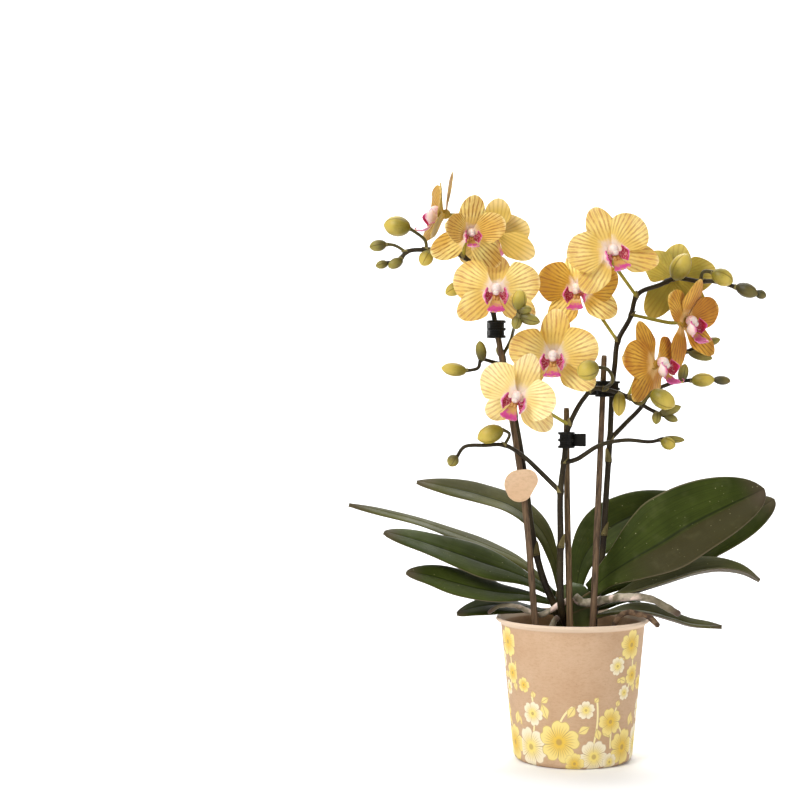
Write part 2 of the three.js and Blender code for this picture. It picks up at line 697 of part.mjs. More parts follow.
// Where each bloom's middle is, the way it faces (turn to the right, tilt up and roll, degrees),
// its size against a bloom of 58 mm, its lip's breadth against a full one, the direction and
// forward lean (degrees) of its upper, left and right sepal and its right and left petal, and the
// spike and point that its pedicel leaves.
const BLOOMS = [
  {
    name: "01", at: [-66, -20, 327], turn: 10, tilt: 4, roll: 0, size: 0.9, lip: 0.72,
    petal: 0.8, tepals: [[90, 40], [208, 0], [315, 4], [16, 38], [168, 44]],
    spike: "spike_left", from: [-69, -4, 315],
  },
  {
    name: "02", at: [-80.5, 7, 343], turn: -84, tilt: 9, roll: -2, size: 0.92, lip: 1,
    petal: 1, tepals: [[90, 3], [218, 22], [322, 22], [30, 18], [150, 18]],
    spike: "spike_left", from: [-80, -5, 318],
  },
  {
    name: "03", at: [-47, 15, 331], turn: 172, tilt: -15, roll: 0, size: 0.97, lip: 0.75,
    petal: 1, tepals: [[90, 20], [213, 5], [322, 5], [40, 36], [140, 36]],
    spike: "spike_left", from: [-55, -1, 297],
  },
  {
    name: "04", at: [-49.5, -24, 293], turn: -4, tilt: -5, roll: 0, size: 1, lip: 1,
    petal: 1, tepals: [[90, -40], [216, 22], [322, 12], [14, 2], [160, 2]],
    spike: "spike_left", from: [-50, 0, 281],
  },
  {
    name: "05", at: [22, -20, 316], turn: 5, tilt: 5, roll: 21, size: 1.03, lip: 1,
    petal: 1, tepals: [[90, 2], [212, 2], [330, 2], [28, 6], [160, 6]],
    spike: "spike_right", from: [41.6, 6, 290],
  },
  {
    name: "06", at: [5, 8, 295], turn: -20, tilt: 0, roll: 0, size: 1, lip: 1,
    petal: 1, tepals: [[90, 2], [232, 10], [326, 10], [20, 12], [160, 12]],
    spike: "spike_right", from: [29, 4, 262],
  },
  {
    name: "07", at: [-14, -23, 251], turn: -10, tilt: 5, roll: 0, size: 1.04, lip: 1,
    petal: 1, tepals: [[87, 2], [206, 2], [324, 2], [18, 8], [162, 8]],
    spike: "spike_middle", from: [10, -10.7, 230.4],
  },
  {
    name: "08", at: [-37, -35, 227], turn: -12, tilt: -4, roll: -20, size: 0.96, lip: 1,
    petal: 1, tepals: [[93, -14], [230, -24], [334, 0], [12, 24], [160, 6]],
    spike: "spike_middle", from: [-4, -9, 210],
  },
  {
    name: "09", at: [67, 21, 303], turn: 165, tilt: 10, roll: 0, size: 1, lip: 0.8,
    petal: 0.85, tepals: [[96, 50], [232, 4], [304, 4], [36, 38], [172, 10]],
    spike: "spike_right", from: [60, 5, 300],
  },
  {
    name: "10", at: [70, 2, 274], turn: 50, tilt: 0, roll: 14, size: 1, lip: 1,
    petal: 0.8, tepals: [[76, 30], [248, 0], [301, 27], [14, 30], [128, 10]],
    spike: "spike_right", from: [38, 5, 279],
  },
  {
    name: "11", at: [50, -13, 247], turn: 46, tilt: 5, roll: 12, size: 0.98, lip: 1,
    petal: 1, tepals: [[94, -4], [218, -6], [300, -20], [10, -2], [156, -8]],
    spike: "spike_middle", from: [33, -13, 227],
  },
];

const SEPAL = {
  length: 29.5, halfWidth: 10.4, root: 0.25, belly: 0.5, power: 2.6, lift: -0.9, cup: -0.06, drop: 0.05,
  alongs: [0, 0.4, 0.8, 1], acrosses: [-1, 0, 1],
};
const PETAL = {
  length: 27.5, halfWidth: 14.2, root: 0.2, belly: 0.55, power: 3.2, lift: 0.8, cup: 0.05, drop: 0.08,
  alongs: [0, 0.34, 0.64, 0.88, 1], acrosses: [-1, -0.4, 0.4, 1],
};
const TEPALS = [SEPAL, SEPAL, SEPAL, PETAL, PETAL];
const TEPAL_START = 1.8;

/** A tepal's half-width along it, as a share: a narrow claw, a broad belly and a round tip. */
const tepalOutline = ({ root, belly, power }, along) =>
  (root + (1 - root) * smooth(clamp01(along / belly))) *
  Math.sqrt(Math.max(0, 1 - along ** power));

/** A point of a tepal that lies along +X with its inner face to +Z. */
function tepalPoint(form, lean, along, across, side) {
  const reach = TEPAL_START + (form.length - TEPAL_START) * along;
  const width = form.halfWidth * tepalOutline(form, along) * across;
  const cupped = (form.cup * width * width) / form.halfWidth - form.drop * form.length * along ** 3;
  const height = form.lift + cupped + (side * TEPAL) / 2;
  const rise = THREE.MathUtils.degToRad(lean);
  return new THREE.Vector3(
    reach * Math.cos(rise) - height * Math.sin(rise),
    width,
    reach * Math.sin(rise) + height * Math.cos(rise),
  );
}

/** A bloom's own right, up and facing directions, from its turn, tilt and roll. */
function frameOf({ turn, tilt, roll }) {
  const [a, b, c] = [turn, tilt, roll].map(THREE.MathUtils.degToRad);
  const facing = new THREE.Vector3(Math.sin(a) * Math.cos(b), -Math.cos(a) * Math.cos(b), Math.sin(b));
  const level = new THREE.Vector3(Math.cos(a), Math.sin(a), 0);
  const rising = new THREE.Vector3().crossVectors(facing, level);
  const right = level.clone().multiplyScalar(Math.cos(c)).addScaledVector(rising, Math.sin(c));
  const up = rising.clone().multiplyScalar(Math.cos(c)).addScaledVector(level, -Math.sin(c));
  return { right, up, facing };
}

/** Moves a form from a bloom's own frame to where the bloom is. */
function placed(body, bloom) {
  const { right, up, facing } = frameOf(bloom);
  const place = new THREE.Matrix4().makeBasis(right, up, facing).setPosition(...bloom.at);
  return body.transform(place.elements);
}

/** A bloom: three sepals behind, two broad petals in front, and the hub they grow from. */
function bloomBody(bloom) {
  const hub = new THREE.SphereGeometry(HUB_RADIUS, 6, 3).rotateX(Math.PI / 2);
  hub.translate(0, 0, -HUB_SET_BACK);
  const parts = [solid(hub)];
  TEPALS.forEach((form, order) => {
    const [direction, lean] = bloom.tepals[order];
    const pointAt = (along, across, side) => tepalPoint(form, lean, along, across, side);
    const sheet = blade(pointAt, form.alongs, form.acrosses);
    const breadth = form === PETAL ? bloom.petal : 1;
    sheet.scale(bloom.size, bloom.size * breadth, 1).rotateZ(THREE.MathUtils.degToRad(direction));
    parts.push(solid(sheet));
  });
  return placed(joined(parts), bloom);
}

// The lip's lobes in the bloom's own frame: middle line from root to tip, half-width at its
// broadest, the share of the way where that is, and which way its inner face looks.
const LOBES = [
  {
    line: [[0, -0.6, 5], [0, -6, 6], [0, -9.5, 9], [0, -11, 12.5], [0, -11.2, 16]], halfWidth: 5.4,
    broadest: 0.75, face: [0, 0.7, 0.7], alongs: [0, 0.4, 0.75, 1], acrosses: [-1, 0, 1],
  },
  {
    line: [[1.2, -1.6, 4.6], [5.6, -3.4, 5.8], [7.4, -4, 9], [7, -4, 13]], halfWidth: 5.6,
    broadest: 0.6, face: [-0.9, 0, 0.4], alongs: [0, 0.3, 0.7, 1], acrosses: [-1, 1],
  },
  {
    line: [[-1.2, -1.6, 4.6], [-5.6, -3.4, 5.8], [-7.4, -4, 9], [-7, -4, 13]], halfWidth: 5.6,
    broadest: 0.6, face: [0.9, 0, 0.4], alongs: [0, 0.3, 0.7, 1], acrosses: [-1, 1],
  },
];

/** One lobe of a lip, as a sheet that curls up at both edges. */
function lobe({ line, halfWidth, broadest, face, alongs, acrosses }) {
  const curve = curveThrough(line);
  const pointAt = (along, across, side) => {
    const heading = curve.getTangentAt(along);
    const up = vector(face).addScaledVector(heading, -vector(face).dot(heading)).normalize();
    const sideways = new THREE.Vector3().crossVectors(up, heading);
    const share = along < broadest ? 0.2 + 0.8 * (along / broadest) : (1 - along) / (1 - broadest);
    const reach = halfWidth * Math.sqrt(share) * across;
    const rise = (side * LIP) / 2 + 0.12 * reach * across;
    return curve.getPointAt(along).addScaledVector(sideways, reach).addScaledVector(up, rise);
  };
  return solid(blade(pointAt, alongs, acrosses));
}

/** A lip: a tongue and two raised side lobes under the column, which stands off the hub. */
function lipBody(bloom) {
  const start = HUB_RADIUS - HUB_SET_BACK + CLEARANCE;
  const column = turned([[0, start], [2.6, start + 1], [3.2, start + 5.5], [0, start + 8]], 6);
  const parts = [solid(column.translate(0, 1, 0)), ...LOBES.map(lobe)];
  return placed(joined(parts).scale([bloom.lip, bloom.lip, 1]), bloom);
}

// ---------------------------------------------------------------- the plant in its pot

const GREEN = ["#3d5124", 0.45];
const ROOT = ["#a9a391", 0.8];
const SPIKE = ["#4b4327", 0.6];
const YELLOW = ["#f1cf68", 0.6];
const PINK = ["#c4416f", 0.5];
const STICK = ["#66503e", 0.75];
const BLACK = ["#17171a", 0.4];

const barkHoles = [
  crownForm(CLEARANCE + 0.1),
  ...ROOTS.filter((entry) => entry.inBark).map((entry) => root(entry, CLEARANCE)),
  ...STICKS.map((entry) => stick(entry, CLEARANCE)),
];

const plant = new THREE.Group();
const add = (name, body, look) => plant.add(meshOf(name, body, look));
add("cover_pot", coverPot(), ["#d9b995", 0.8]);
add("grow_pot", growPot(), ["#d8dcd8", 0.2]);
add("bark", barkMix(barkHoles), ["#4a3325", 0.95]);
add("crown", crown(), GREEN);
for (const entry of LEAVES) add(entry.name, leaf(entry), GREEN);
for (const entry of ROOTS) add(entry.name, root(entry), ROOT);
for (const entry of STICKS) add(entry.name, stick(entry), STICK);
for (const entry of CLIPS) add(entry.name, clip(entry), BLACK);
add("tag", tag(), ["#e8c5a0", 0.8]);
for (const entry of SPIKES) add(entry.name, spike(entry), SPIKE);
for (const bloom of BLOOMS) {
  add(`bloom_${bloom.name}`, bloomBody(bloom), YELLOW);
  add(`lip_${bloom.name}`, lipBody(bloom), PINK);
}

export default plant;
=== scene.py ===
"""A potted moth orchid: the finish of every surface, and finer meshes for what grew.

Each fine piece follows the same route, outline and place as the solid it stands for. Lengths in
the tables are millimetres, in the frame's own axes: +Z up, the blooms face -Y, and the origin is
the middle of the cover pot's flat base.
"""
import math
import random
from collections import namedtuple

import bmesh
import bpy
import numpy as np
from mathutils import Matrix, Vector


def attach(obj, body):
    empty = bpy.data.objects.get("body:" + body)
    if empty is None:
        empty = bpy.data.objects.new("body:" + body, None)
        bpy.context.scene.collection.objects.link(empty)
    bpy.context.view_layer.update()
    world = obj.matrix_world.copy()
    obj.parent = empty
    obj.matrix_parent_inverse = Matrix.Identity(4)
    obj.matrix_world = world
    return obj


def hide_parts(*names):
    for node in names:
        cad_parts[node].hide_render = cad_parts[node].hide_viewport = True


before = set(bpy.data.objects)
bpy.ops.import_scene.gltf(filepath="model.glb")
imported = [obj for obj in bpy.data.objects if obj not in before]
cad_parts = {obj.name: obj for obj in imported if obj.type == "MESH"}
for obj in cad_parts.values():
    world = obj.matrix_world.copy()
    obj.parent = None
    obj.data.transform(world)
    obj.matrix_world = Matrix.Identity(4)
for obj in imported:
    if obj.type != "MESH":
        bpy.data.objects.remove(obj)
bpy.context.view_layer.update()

MM = 0.001
ROOT_BODY = "root"
FORM_UV = "Form"


def linked(name, data):
    """A new object, linked to the scene."""
    made = bpy.data.objects.new(name, data)
    bpy.context.scene.collection.objects.link(made)
    return made


# ---------------------------------------------------------------- shader values

def srgb(code):
    """A colour as the shader wants it, from its hex code."""
    parts = [int(code[i:i + 2], 16) / 255 for i in (1, 3, 5)]
    linear = [p / 12.92 if p <= 0.04045 else ((p + 0.055) / 1.055) ** 2.4 for p in parts]
    return (*linear, 1.0)


class Value:
    """A node's output. Arithmetic with it makes further nodes."""

    def __init__(self, look, socket):
        self.look = look
        self.socket = socket

    def __add__(self, other):
        return self.look.math("ADD", self, other)

    def __sub__(self, other):
        return self.look.math("SUBTRACT", self, other)

    def __rsub__(self, other):
        return self.look.math("SUBTRACT", other, self)

    def __mul__(self, other):
        return self.look.math("MULTIPLY", self, other)

    def __truediv__(self, other):
        return self.look.math("DIVIDE", self, other)

    def __abs__(self):
        return self.look.math("ABSOLUTE", self)

    def greater(self, other):
        return self.look.math("MAXIMUM", self, other)

    def ease(self, low, high, start=0.0, end=1.0):
        """start below low, end above high, and smooth between them."""
        values = {"Value": self, "From Min": low, "From Max": high, "To Min": start, "To Max": end}
        return self.look.node("MapRange", values, interpolation_type="SMOOTHSTEP")

    def stripes(self, thin, wide):
        """1 on the lines where the value is a whole number, and 0 between them."""
        return self.look.math("PINGPONG", self, 0.5).ease(thin, wide, 1.0, 0.0)


class Look:
    """A node material in the making. An input is a number, a colour code or a Value."""

    def __init__(self, name, colour, **surface):
        self.material = bpy.data.materials.new(name)
        self.material.use_nodes = True
        self.tree = self.material.node_tree
        self.shader = self.tree.nodes["Principled BSDF"]
        self.colour = colour
        for socket, value in surface.items():
            self.shader.inputs[socket.replace("_", " ")].default_value = value

    def feed(self, socket, value):
        if isinstance(value, Value):
            self.tree.links.new(value.socket, socket)
        else:
            socket.default_value = srgb(value) if isinstance(value, str) else value

    def node(self, kind, values, output=0, **settings):
        """One output of a new node."""
        made = self.tree.nodes.new("ShaderNode" + kind)
        for key, value in settings.items():
            setattr(made, key, value)
        for key, value in values.items():
            self.feed(made.inputs[key], value)
        return Value(self, made.outputs[output])

    def math(self, operation, *values):
        return self.node("Math", dict(enumerate(values)), operation=operation)

    def mix(self, share, first, second):
        return self.node("Mix", {0: share, 6: first, 7: second}, 2, data_type="RGBA")

    def tint(self, share, second):
        """Turns the colour so far into a second one, by a share."""
        self.colour = self.mix(share, self.colour, second)

    def place(self, stretch=(1, 1, 1)):
        """Places on the object in metres, stretched."""
        return self.node("Mapping", {"Vector": self.node("TexCoord", {}, "Object"), "Scale": stretch})

    def noise(self, scale, detail=3.0, stretch=(1, 1, 1), rough=0.5):
        values = {"Vector": self.place(stretch), "Scale": scale, "Detail": detail, "Roughness": rough}
        return self.node("TexNoise", values, "Fac")

    def streaks(self, across, along, detail):
        """Noise that is drawn out along a leaf."""
        where = self.node("CombineXYZ", {0: across, 1: along})
        return self.node("TexNoise", {"Vector": where, "Scale": 1.0, "Detail": detail}, "Fac")

    def cells(self, scale):
        """The distance to the nearest of many scattered points."""
        return self.node("TexVoronoi", {"Vector": self.place(), "Scale": scale}, "Distance")

    def parts(self, vector):
        outputs = self.node("SeparateXYZ", {0: vector}).socket.node.outputs
        return [Value(self, output) for output in outputs]

    def form(self):
        """The two parametric coordinates that a fine mesh carries."""
        return self.parts(self.node("UVMap", {}, uv_map=FORM_UV))[:2]

    def bump(self, height, strength, distance):
        values = {"Height": height, "Strength": strength, "Distance": distance}
        self.feed(self.shader.inputs["Normal"], self.node("Bump", values))

    def finish(self, roughness=None):
        self.feed(self.shader.inputs["Base Color"], self.colour)
        if roughness is not None:
            self.feed(self.shader.inputs["Roughness"], roughness)
        return self.material


# ---------------------------------------------------------------- camera, light and floor

CAMERA_AT = (-0.1087, -1.041, 0.225)
CAMERA_LENS = 74.36
CAMERA_SENSOR = 36
PLANT_MIDDLE = (0, 0, 0.2)
# Soft square lights: place, size, power and the point each looks at.
LIGHTS = {
    "key": ((-0.9, -1.0, 1.25), 0.7, 19, PLANT_MIDDLE),
    "fill": ((1.1, -0.9, 0.5), 0.9, 2, PLANT_MIDDLE),
    "rear": ((0.3, 1.2, 1.2), 0.8, 5, PLANT_MIDDLE),
    "backdrop": ((0, 1.0, 2.2), 2.0, 75, (0, 2.6, 0.5)),
}
WORLD_STRENGTH = 0.4
FLOOR_SIZE = 6.0
BACKDROP_AT = 2.6
BACKDROP_BEND = 1.2
BEND_STEPS = 12
PALE = (0.97, 0.97, 0.97, 1)


def set_camera():
    """Level with the blooms' lower half, as in the photograph, with the plant to its right."""
    camera = linked("camera", bpy.data.cameras.new("camera"))
    camera.data.lens = CAMERA_LENS
    camera.data.sensor_width = CAMERA_SENSOR
    camera.data.clip_start = 0.05
    camera.location = CAMERA_AT
    camera.rotation_euler = (math.pi / 2, 0, 0)
    bpy.context.scene.camera = camera


def set_light():
    """White surroundings, a broad key light from the upper left, and weaker lights round it."""
    world = bpy.data.worlds.new("studio")
    world.use_nodes = True
    background = world.node_tree.nodes["Background"]
    background.inputs["Color"].default_value = (1, 1, 1, 1)
    background.inputs["Strength"].default_value = WORLD_STRENGTH
    bpy.context.scene.world = world
    for name, (at, size, power, aim) in LIGHTS.items():
        light = bpy.data.lights.new(name, "AREA")
        light.size = size
        light.energy = power
        lamp = linked(name, light)
        lamp.location = at
        lamp.rotation_euler = (Vector(aim) - Vector(at)).to_track_quat("-Z", "Y").to_euler()
    bpy.context.scene.view_settings.view_transform = "Standard"
    bpy.context.scene.view_settings.look = "None"


def set_floor():
    """A pale floor that bends up into a pale backdrop, with no edge in view."""
    bend_from = BACKDROP_AT - BACKDROP_BEND
    rows = [(-FLOOR_SIZE / 2, 0.0), (bend_from, 0.0)]
    for step in range(1, BEND_STEPS + 1):
        turn = math.pi / 2 * step / BEND_STEPS
        rows.append((bend_from + BACKDROP_BEND * math.sin(turn), BACKDROP_BEND * (1 - math.cos(turn))))
    rows.append((BACKDROP_AT, FLOOR_SIZE / 2))
    corners = [(side * FLOOR_SIZE / 2, y, z) for y, z in rows for side in (-1, 1)]
    faces = [(2 * i, 2 * i + 1, 2 * i + 3, 2 * i + 2) for i in range(len(rows) - 1)]
    mesh = bpy.data.meshes.new("floor")
    mesh.from_pydata(corners, [], faces)
    for polygon in mesh.polygons:
        polygon.use_smooth = True
    floor = linked("floor", mesh)
    mesh.materials.append(Look("floor", PALE, Roughness=0.8).finish())


# ---------------------------------------------------------------- materials

TEPAL_SURFACE = {
    "Roughness": 0.55, "Subsurface_Weight": 0.12, "Subsurface_Scale": 0.0015,
    "Specular_IOR_Level": 0.25, "Subsurface_Radius": (1.0, 0.7, 0.2),
}


def tepal_look(name, heart, deep, bright, edge, vein, vein_in, strength):
    """A petal's inner face: pale at its root, golden, with close veins that fan out to the rim."""
    look = Look(name, deep, **TEPAL_SURFACE)
    fan, along = look.form()
    drift = (look.noise(90, 2) - 0.5) * 0.65
    wiggle = (look.noise(340, 2) - 0.5) * 0.3
    fan = fan + (drift + wiggle)
    fork = (fan + 0.5).stripes(0.02, 0.2) * along.ease(0.6, 0.85, 0.0, 0.6)
    lines = fan.stripes(0.08, 0.33).greater(fork)
    faded = look.noise(260, 3).ease(0.32, 0.6, 0.5, 1.0)
    veins = lines * faded * (along.ease(0.14, 0.5) * along.ease(0.93, 1.0, 1.0, 0.6))
    look.tint(look.noise(55, 3).ease(0.35, 0.7), bright)
    # Deeper towards the root: partly the petal's own colour, partly painted shade near the bloom's heart.
    look.tint(along.ease(0.25, 0.5, 0.5, 0.0), deep)
    look.tint(along.ease(0.9, 1.0, 0.0, 0.6), edge)
    tinge = along + (look.noise(300, 3) - 0.5) * 0.2
    look.tint(tinge.ease(0.1, 0.3, 1.0, 0.0), heart)
    look.tint(veins * strength, look.mix(along.ease(0.3, 0.8), vein_in, vein))
    look.bump(veins + look.noise(900, 2), 0.25, 0.0003)
    return look.finish()


def tepal_back_look(name, green, gold, pale):
    """A petal's outer face: duller, greener along the middle and paler at the edge."""
    look = Look(name, green, **TEPAL_SURFACE)
    fan, along = look.form()
    ribs = fan.stripes(0.05, 0.3)
    look.tint(look.noise(60, 4).ease(0.35, 0.65), gold)
    look.tint(along.ease(0.55, 1.0, 0.0, 0.8), pale)
    look.tint(abs(fan).ease(0.0, 1.4, 0.5, 0.0) * along.ease(0.5, 0.9, 1.0, 0.0), green)
    look.tint(ribs * 0.3, "#8A6A25")
    look.bump(ribs + look.noise(700, 2), 0.3, 0.0003)
    return look.finish()


def waxy_look(name, first, second, low=0.25, high=0.85, rim=None, speck=None, scale=260.0):
    """A waxy flower part of two tones from root to tip, with another rim and specks if given."""
    look = Look(name, first, Roughness=0.38, Subsurface_Weight=0.2, Subsurface_Scale=0.0015,
                Coat_Weight=0.1, Coat_Roughness=0.3)
    across, along = look.form()
    drift = (look.noise(scale, 3) - 0.5) * 0.5
    look.tint((along + drift).ease(low, high), second)
    if speck:
        look.tint(look.noise(1100, 2).ease(0.52, 0.62) * along.ease(0.3, 0.8, 0.8, 0.1), speck)
    if rim:
        look.tint((abs(across) + drift).ease(0.72, 1.0).greater(along.ease(0.84, 1.0)), rim)
    look.bump(look.noise(800, 3), 0.2, 0.0003)
    return look.finish()


def leaf_look(name, dark, light, tinge):
    """A leaf's upper face: deep satin green with faint long streaks, pale dust and a dark midrib line,
    which is painted shade in the midrib's groove.

    The last argument is how far the half at across < 0 turns grey-brown: painted shade on that
    downward-facing half, with a brownish flush.
    """
    look = Look(name, dark, Specular_IOR_Level=0.1, IOR=1.35)
    across, along = look.form()
    middle = abs(across)
    streaks = look.streaks(across * 34.0, along, 3.0)
    look.tint(look.noise(26, 3).ease(0.3, 0.7), light)
    look.tint(streaks.ease(0.35, 0.75, 0.0, 0.45), "#232A0E")
    # Painted shade: the downward half at across < 0 turns grey-brown, with a brownish flush, by the last
    # argument's share.
    look.tint(across.ease(-0.16, 0.0, 1.0, 0.0) * along.ease(0.1, 0.4) * tinge, "#403A24")
    # Painted shade: a dark line along the midrib's groove.
    look.tint(middle.ease(0.012, 0.05, 0.7, 0.0), "#1A200C")
    look.tint(along.ease(0.86, 1.0) * 0.7, "#54463A")
    look.tint(middle.ease(0.94, 0.99, 0.0, 0.5), "#7C6F58")
    patchy = look.noise(60, 2).ease(0.44, 0.6) * look.noise(420, 2).ease(0.5, 0.62)
    dust = look.cells(420.0).ease(0.07, 0.18, 0.85, 0.0) * patchy
    film = look.noise(95, 5).ease(0.5, 0.75) * 0.05
    look.tint(dust.greater(film), "#A39E74")
    look.bump(streaks + look.noise(700, 3) * 0.5, 0.22, 0.0006)
    return look.finish(look.noise(50, 4).ease(0.3, 0.7, 0.42, 0.56))


def leaf_under_look():
    """A leaf's underside: matt grey-brown green with a paler midrib and long streaks."""
    look = Look("leaf_under", "#484028", Specular_IOR_Level=0.15)
    across, along = look.form()
    streaks = look.streaks(across * 22.0, along, 4.0)
    look.tint(look.noise(30, 4).ease(0.35, 0.65), "#5A4C38")
    look.tint(streaks.ease(0.4, 0.7, 0.0, 0.5), "#3C3A20")
    look.tint(abs(across).ease(0.02, 0.1, 0.5, 0.0), "#686044")
    look.bump(streaks, 0.25, 0.0006)
    return look.finish(0.55)


def crown_look():
    """The crown's clasping leaf bases: pale green low down, darker above, brown at the edges."""
    look = Look("crown", "#6E7840", Specular_IOR_Level=0.2)
    height = look.parts(look.place())[2]
    lines = look.noise(300, 3, (1, 1, 0.12))
    look.tint(height.ease(0.075, 0.1), "#434F27")
    look.tint(lines.ease(0.45, 0.7, 0.0, 0.5), "#5B5A34")
    look.tint(look.form()[1].ease(0.88, 1.0, 0.0, 0.8), "#6E5A3C")
    look.bump(lines, 0.3, 0.0006)
    return look.finish(0.5)


def root_look():
    """An aerial root: silvery velvet with pale pinkish patches, green and brown towards its end."""
    look = Look("root", "#6F664E", Sheen_Weight=0.3)
    along = look.form()[1]
    look.tint(look.noise(170, 5).ease(0.38, 0.62), "#B5A993")
    look.tint(look.noise(110, 5).ease(0.46, 0.6) * along.ease(0.5, 0.68, 1.0, 0.15), "#FBDFD0")
    look.tint(along.ease(0.5, 0.8, 0.0, 0.75), "#6B6247")
    look.tint(along.ease(0.86, 0.97, 0.0, 0.9), "#4A3426")
    look.bump(look.noise(500, 5), 0.5, 0.0006)
    return look.finish(0.85)


def dry_root_look():
    """A dry root or stub: brown and wrinkled."""
    look = Look("dry_root", "#3B2A1D")
    look.tint(look.noise(240, 5).ease(0.35, 0.65), "#7C6248")
    look.bump(look.noise(420, 6, (1, 1, 0.5)), 0.8, 0.0008)
    return look.finish(0.9)


def stem_look(name, dark, light, speck, roughness=0.42):
    """A flower stem: smooth, mottled lengthwise, with fine specks."""
    look = Look(name, dark, Specular_IOR_Level=0.18)
    look.tint(look.noise(120, 4, (1, 1, 0.35)).ease(0.35, 0.7), light)
    look.tint(look.cells(700.0).ease(0.1, 0.25, 0.5, 0.0), speck)
    look.bump(look.noise(500, 3, (1, 1, 0.3)), 0.3, 0.0004)
    return look.finish(roughness)


def bud_look(name, base, tip, blush):
    """A bud: green at its stalk, yellower at its tip, finely blushed along three seams."""
    look = Look(name, base, Roughness=0.45, Subsurface_Weight=0.1, Subsurface_Scale=0.0015,
                Specular_IOR_Level=0.35)
    around, along = look.form()
    look.tint((along + (look.noise(120, 3) - 0.5) * 0.5).ease(0.15, 0.85), tip)
    look.tint((around * 3.0).stripes(0.02, 0.06) * 0.65, blush)
    look.tint(look.noise(900, 2).ease(0.56, 0.68) * along.ease(0.75, 0.3, 0.0, 0.4), blush)
    look.bump(look.noise(600, 3), 0.2, 0.0003)
    return look.finish()


def stick_look(name, dark, light):
    """A stained wooden stake: long fibres, worn paler in places."""
    look = Look(name, dark, Specular_IOR_Level=0.2)
    fibres = look.noise(900, 4, (1, 1, 0.03), 0.6)
    worn = look.noise(60, 3)
    look.tint(fibres.ease(0.35, 0.68), light)
    look.tint(worn.ease(0.5, 0.72, 0.0, 0.35), "#7A6148")
    look.bump(fibres, 0.5, 0.0004)
    return look.finish(worn.ease(0.3, 0.7, 0.6, 0.8))


def clip_look():
    """Moulded black plastic with a faint satin grain."""
    look = Look("clip", "#0B0A08", Specular_IOR_Level=0.2)
    grain = look.noise(1500, 2)
    look.tint(grain.ease(0.3, 0.7), "#161410")
    look.bump(grain, 0.15, 0.0002)
    return look.finish(look.noise(200, 3).ease(0.3, 0.7, 0.42, 0.56))


def bark_look():
    """Bark chips: dark brown to rust, each chip in its own tone, layered and rough."""
    look = Look("bark", "#3A2619")
    layers = look.noise(260, 5, (1, 1, 3), 0.65)
    look.tint(look.form()[0], "#7A5136")
    look.colour = look.mix(layers.ease(0.35, 0.68), "#1F140D", look.colour)
    look.tint(look.noise(120, 4).ease(0.6, 0.75, 0.0, 0.5), "#94745A")
    look.bump(layers, 1.0, 0.0012)
    return look.finish(0.92)


def clear_plastic_look():
    """Thin clear plastic, faintly misted inside."""
    look = Look("clear_plastic", "#EDF1EC", Transmission_Weight=0.8, IOR=1.49)
    mist = look.noise(45, 4)
    look.tint(mist.ease(0.4, 0.7, 0.0, 0.4), "#C8CDC6")
    look.bump(look.noise(300, 2), 0.05, 0.0003)
    return look.finish(mist.ease(0.35, 0.7, 0.12, 0.4))


def add_fibres(look, cloud):
    """Makes a card's plain colour cloudy, fibrous and flecked, and gives the fibres."""
    fibres = look.noise(420, 5, (1, 1, 2.2), 0.7)
    look.tint(look.noise(38, 3).ease(0.3, 0.7), cloud)
    look.tint(fibres.ease(0.42, 0.7, 0.0, 0.35), "#B08A63")
    look.tint(look.noise(1300, 2).ease(0.68, 0.76, 0.0, 0.35), "#7A5A3C")
    return fibres


def tag_look():
    """Smooth bare card, paler than the pot's."""
    look = Look("tag_card", "#DDBC99")
    look.bump(add_fibres(look, "#D5B08A"), 0.15, 0.0002)
    return look.finish(0.7)


# ---------------------------------------------------------------- the pot's printed pattern

PRINT_RADIUS = 41.0  # the pattern is laid out flat at this radius
PRINT_REPEATS = 3
PRINT_PERIOD = 2 * math.pi * PRINT_RADIUS / PRINT_REPEATS
PRINT_FROM = 10.0  # the base's middle, up to this radius, is bare
PRINT_INK = "#A07C58"
PALE_BLOSSOM = ("#F1DA7A", "#F3E6C8")
DEEP_BLOSSOM = ("#E7BF4C", "#F1DB8A")

# Five-petalled blossoms: place across and up, radius, turn, and tones at the heart and the tips.
BLOSSOMS = [
    (-34, 12, 13, 0.9, PALE_BLOSSOM), (33, 12, 12, 0.2, DEEP_BLOSSOM), (10, 8, 11, 1.1, PALE_BLOSSOM),
    (-13, 17, 14, 0.35, DEEP_BLOSSOM), (21, 29, 9, 0.7, DEEP_BLOSSOM), (-31, 33, 8, 0.1, PALE_BLOSSOM),
    (4, 37, 6, 0.5, PALE_BLOSSOM), (-3, 4, 7, 0.2, DEEP_BLOSSOM), (22, 4, 6, 0.8, PALE_BLOSSOM),
    (35, 75, 10, 0.4, DEEP_BLOSSOM), (24, 63, 6, 0.9, PALE_BLOSSOM), (38, 56, 7, 0.0, DEEP_BLOSSOM),
    (31, 46, 5, 0.6, PALE_BLOSSOM), (-37, 50, 5, 0.3, DEEP_BLOSSOM),
]
# Leaflets: root across and up, direction, length and half-width.
LEAFLETS = [
    (-20, 29, 1.9, 13, 3.2), (-8, 31, 1.0, 11, 2.8), (-40, 24, 2.4, 11, 2.8), (22, 18, 2.2, 13, 3.2),
    (38, 23, 1.25, 12, 3.0), (14, 17, 1.9, 10, 2.6), (31, 67, 3.3, 11, 2.8), (41, 65, -1.0, 10, 2.6),
    (33, 52, 2.7, 9, 2.4), (-2, 22, 0.5, 11, 2.8), (42, 44, 1.9, 9, 2.3), (-25, 40, 0.6, 8, 2.2),
    (9, 41, 0.9, 5, 1.9), (25, 37, 1.2, 6, 2.1), (-29, 42, 1.8, 6, 2.1), (28, 55, 3.6, 5, 1.8),
]
# Stalks: root across and up, direction, length and bow.
STALKS = [
    (-14, 22, 1.05, 20, 2.0), (32, 18, 2.3, 16, -2.0), (34, 82, -1.6, 38, 4.0), (-33, 14, 1.5, 30, -2.0),
    (9, 14, 1.5, 28, -1.5), (22, 12, 1.45, 26, 1.5),
]


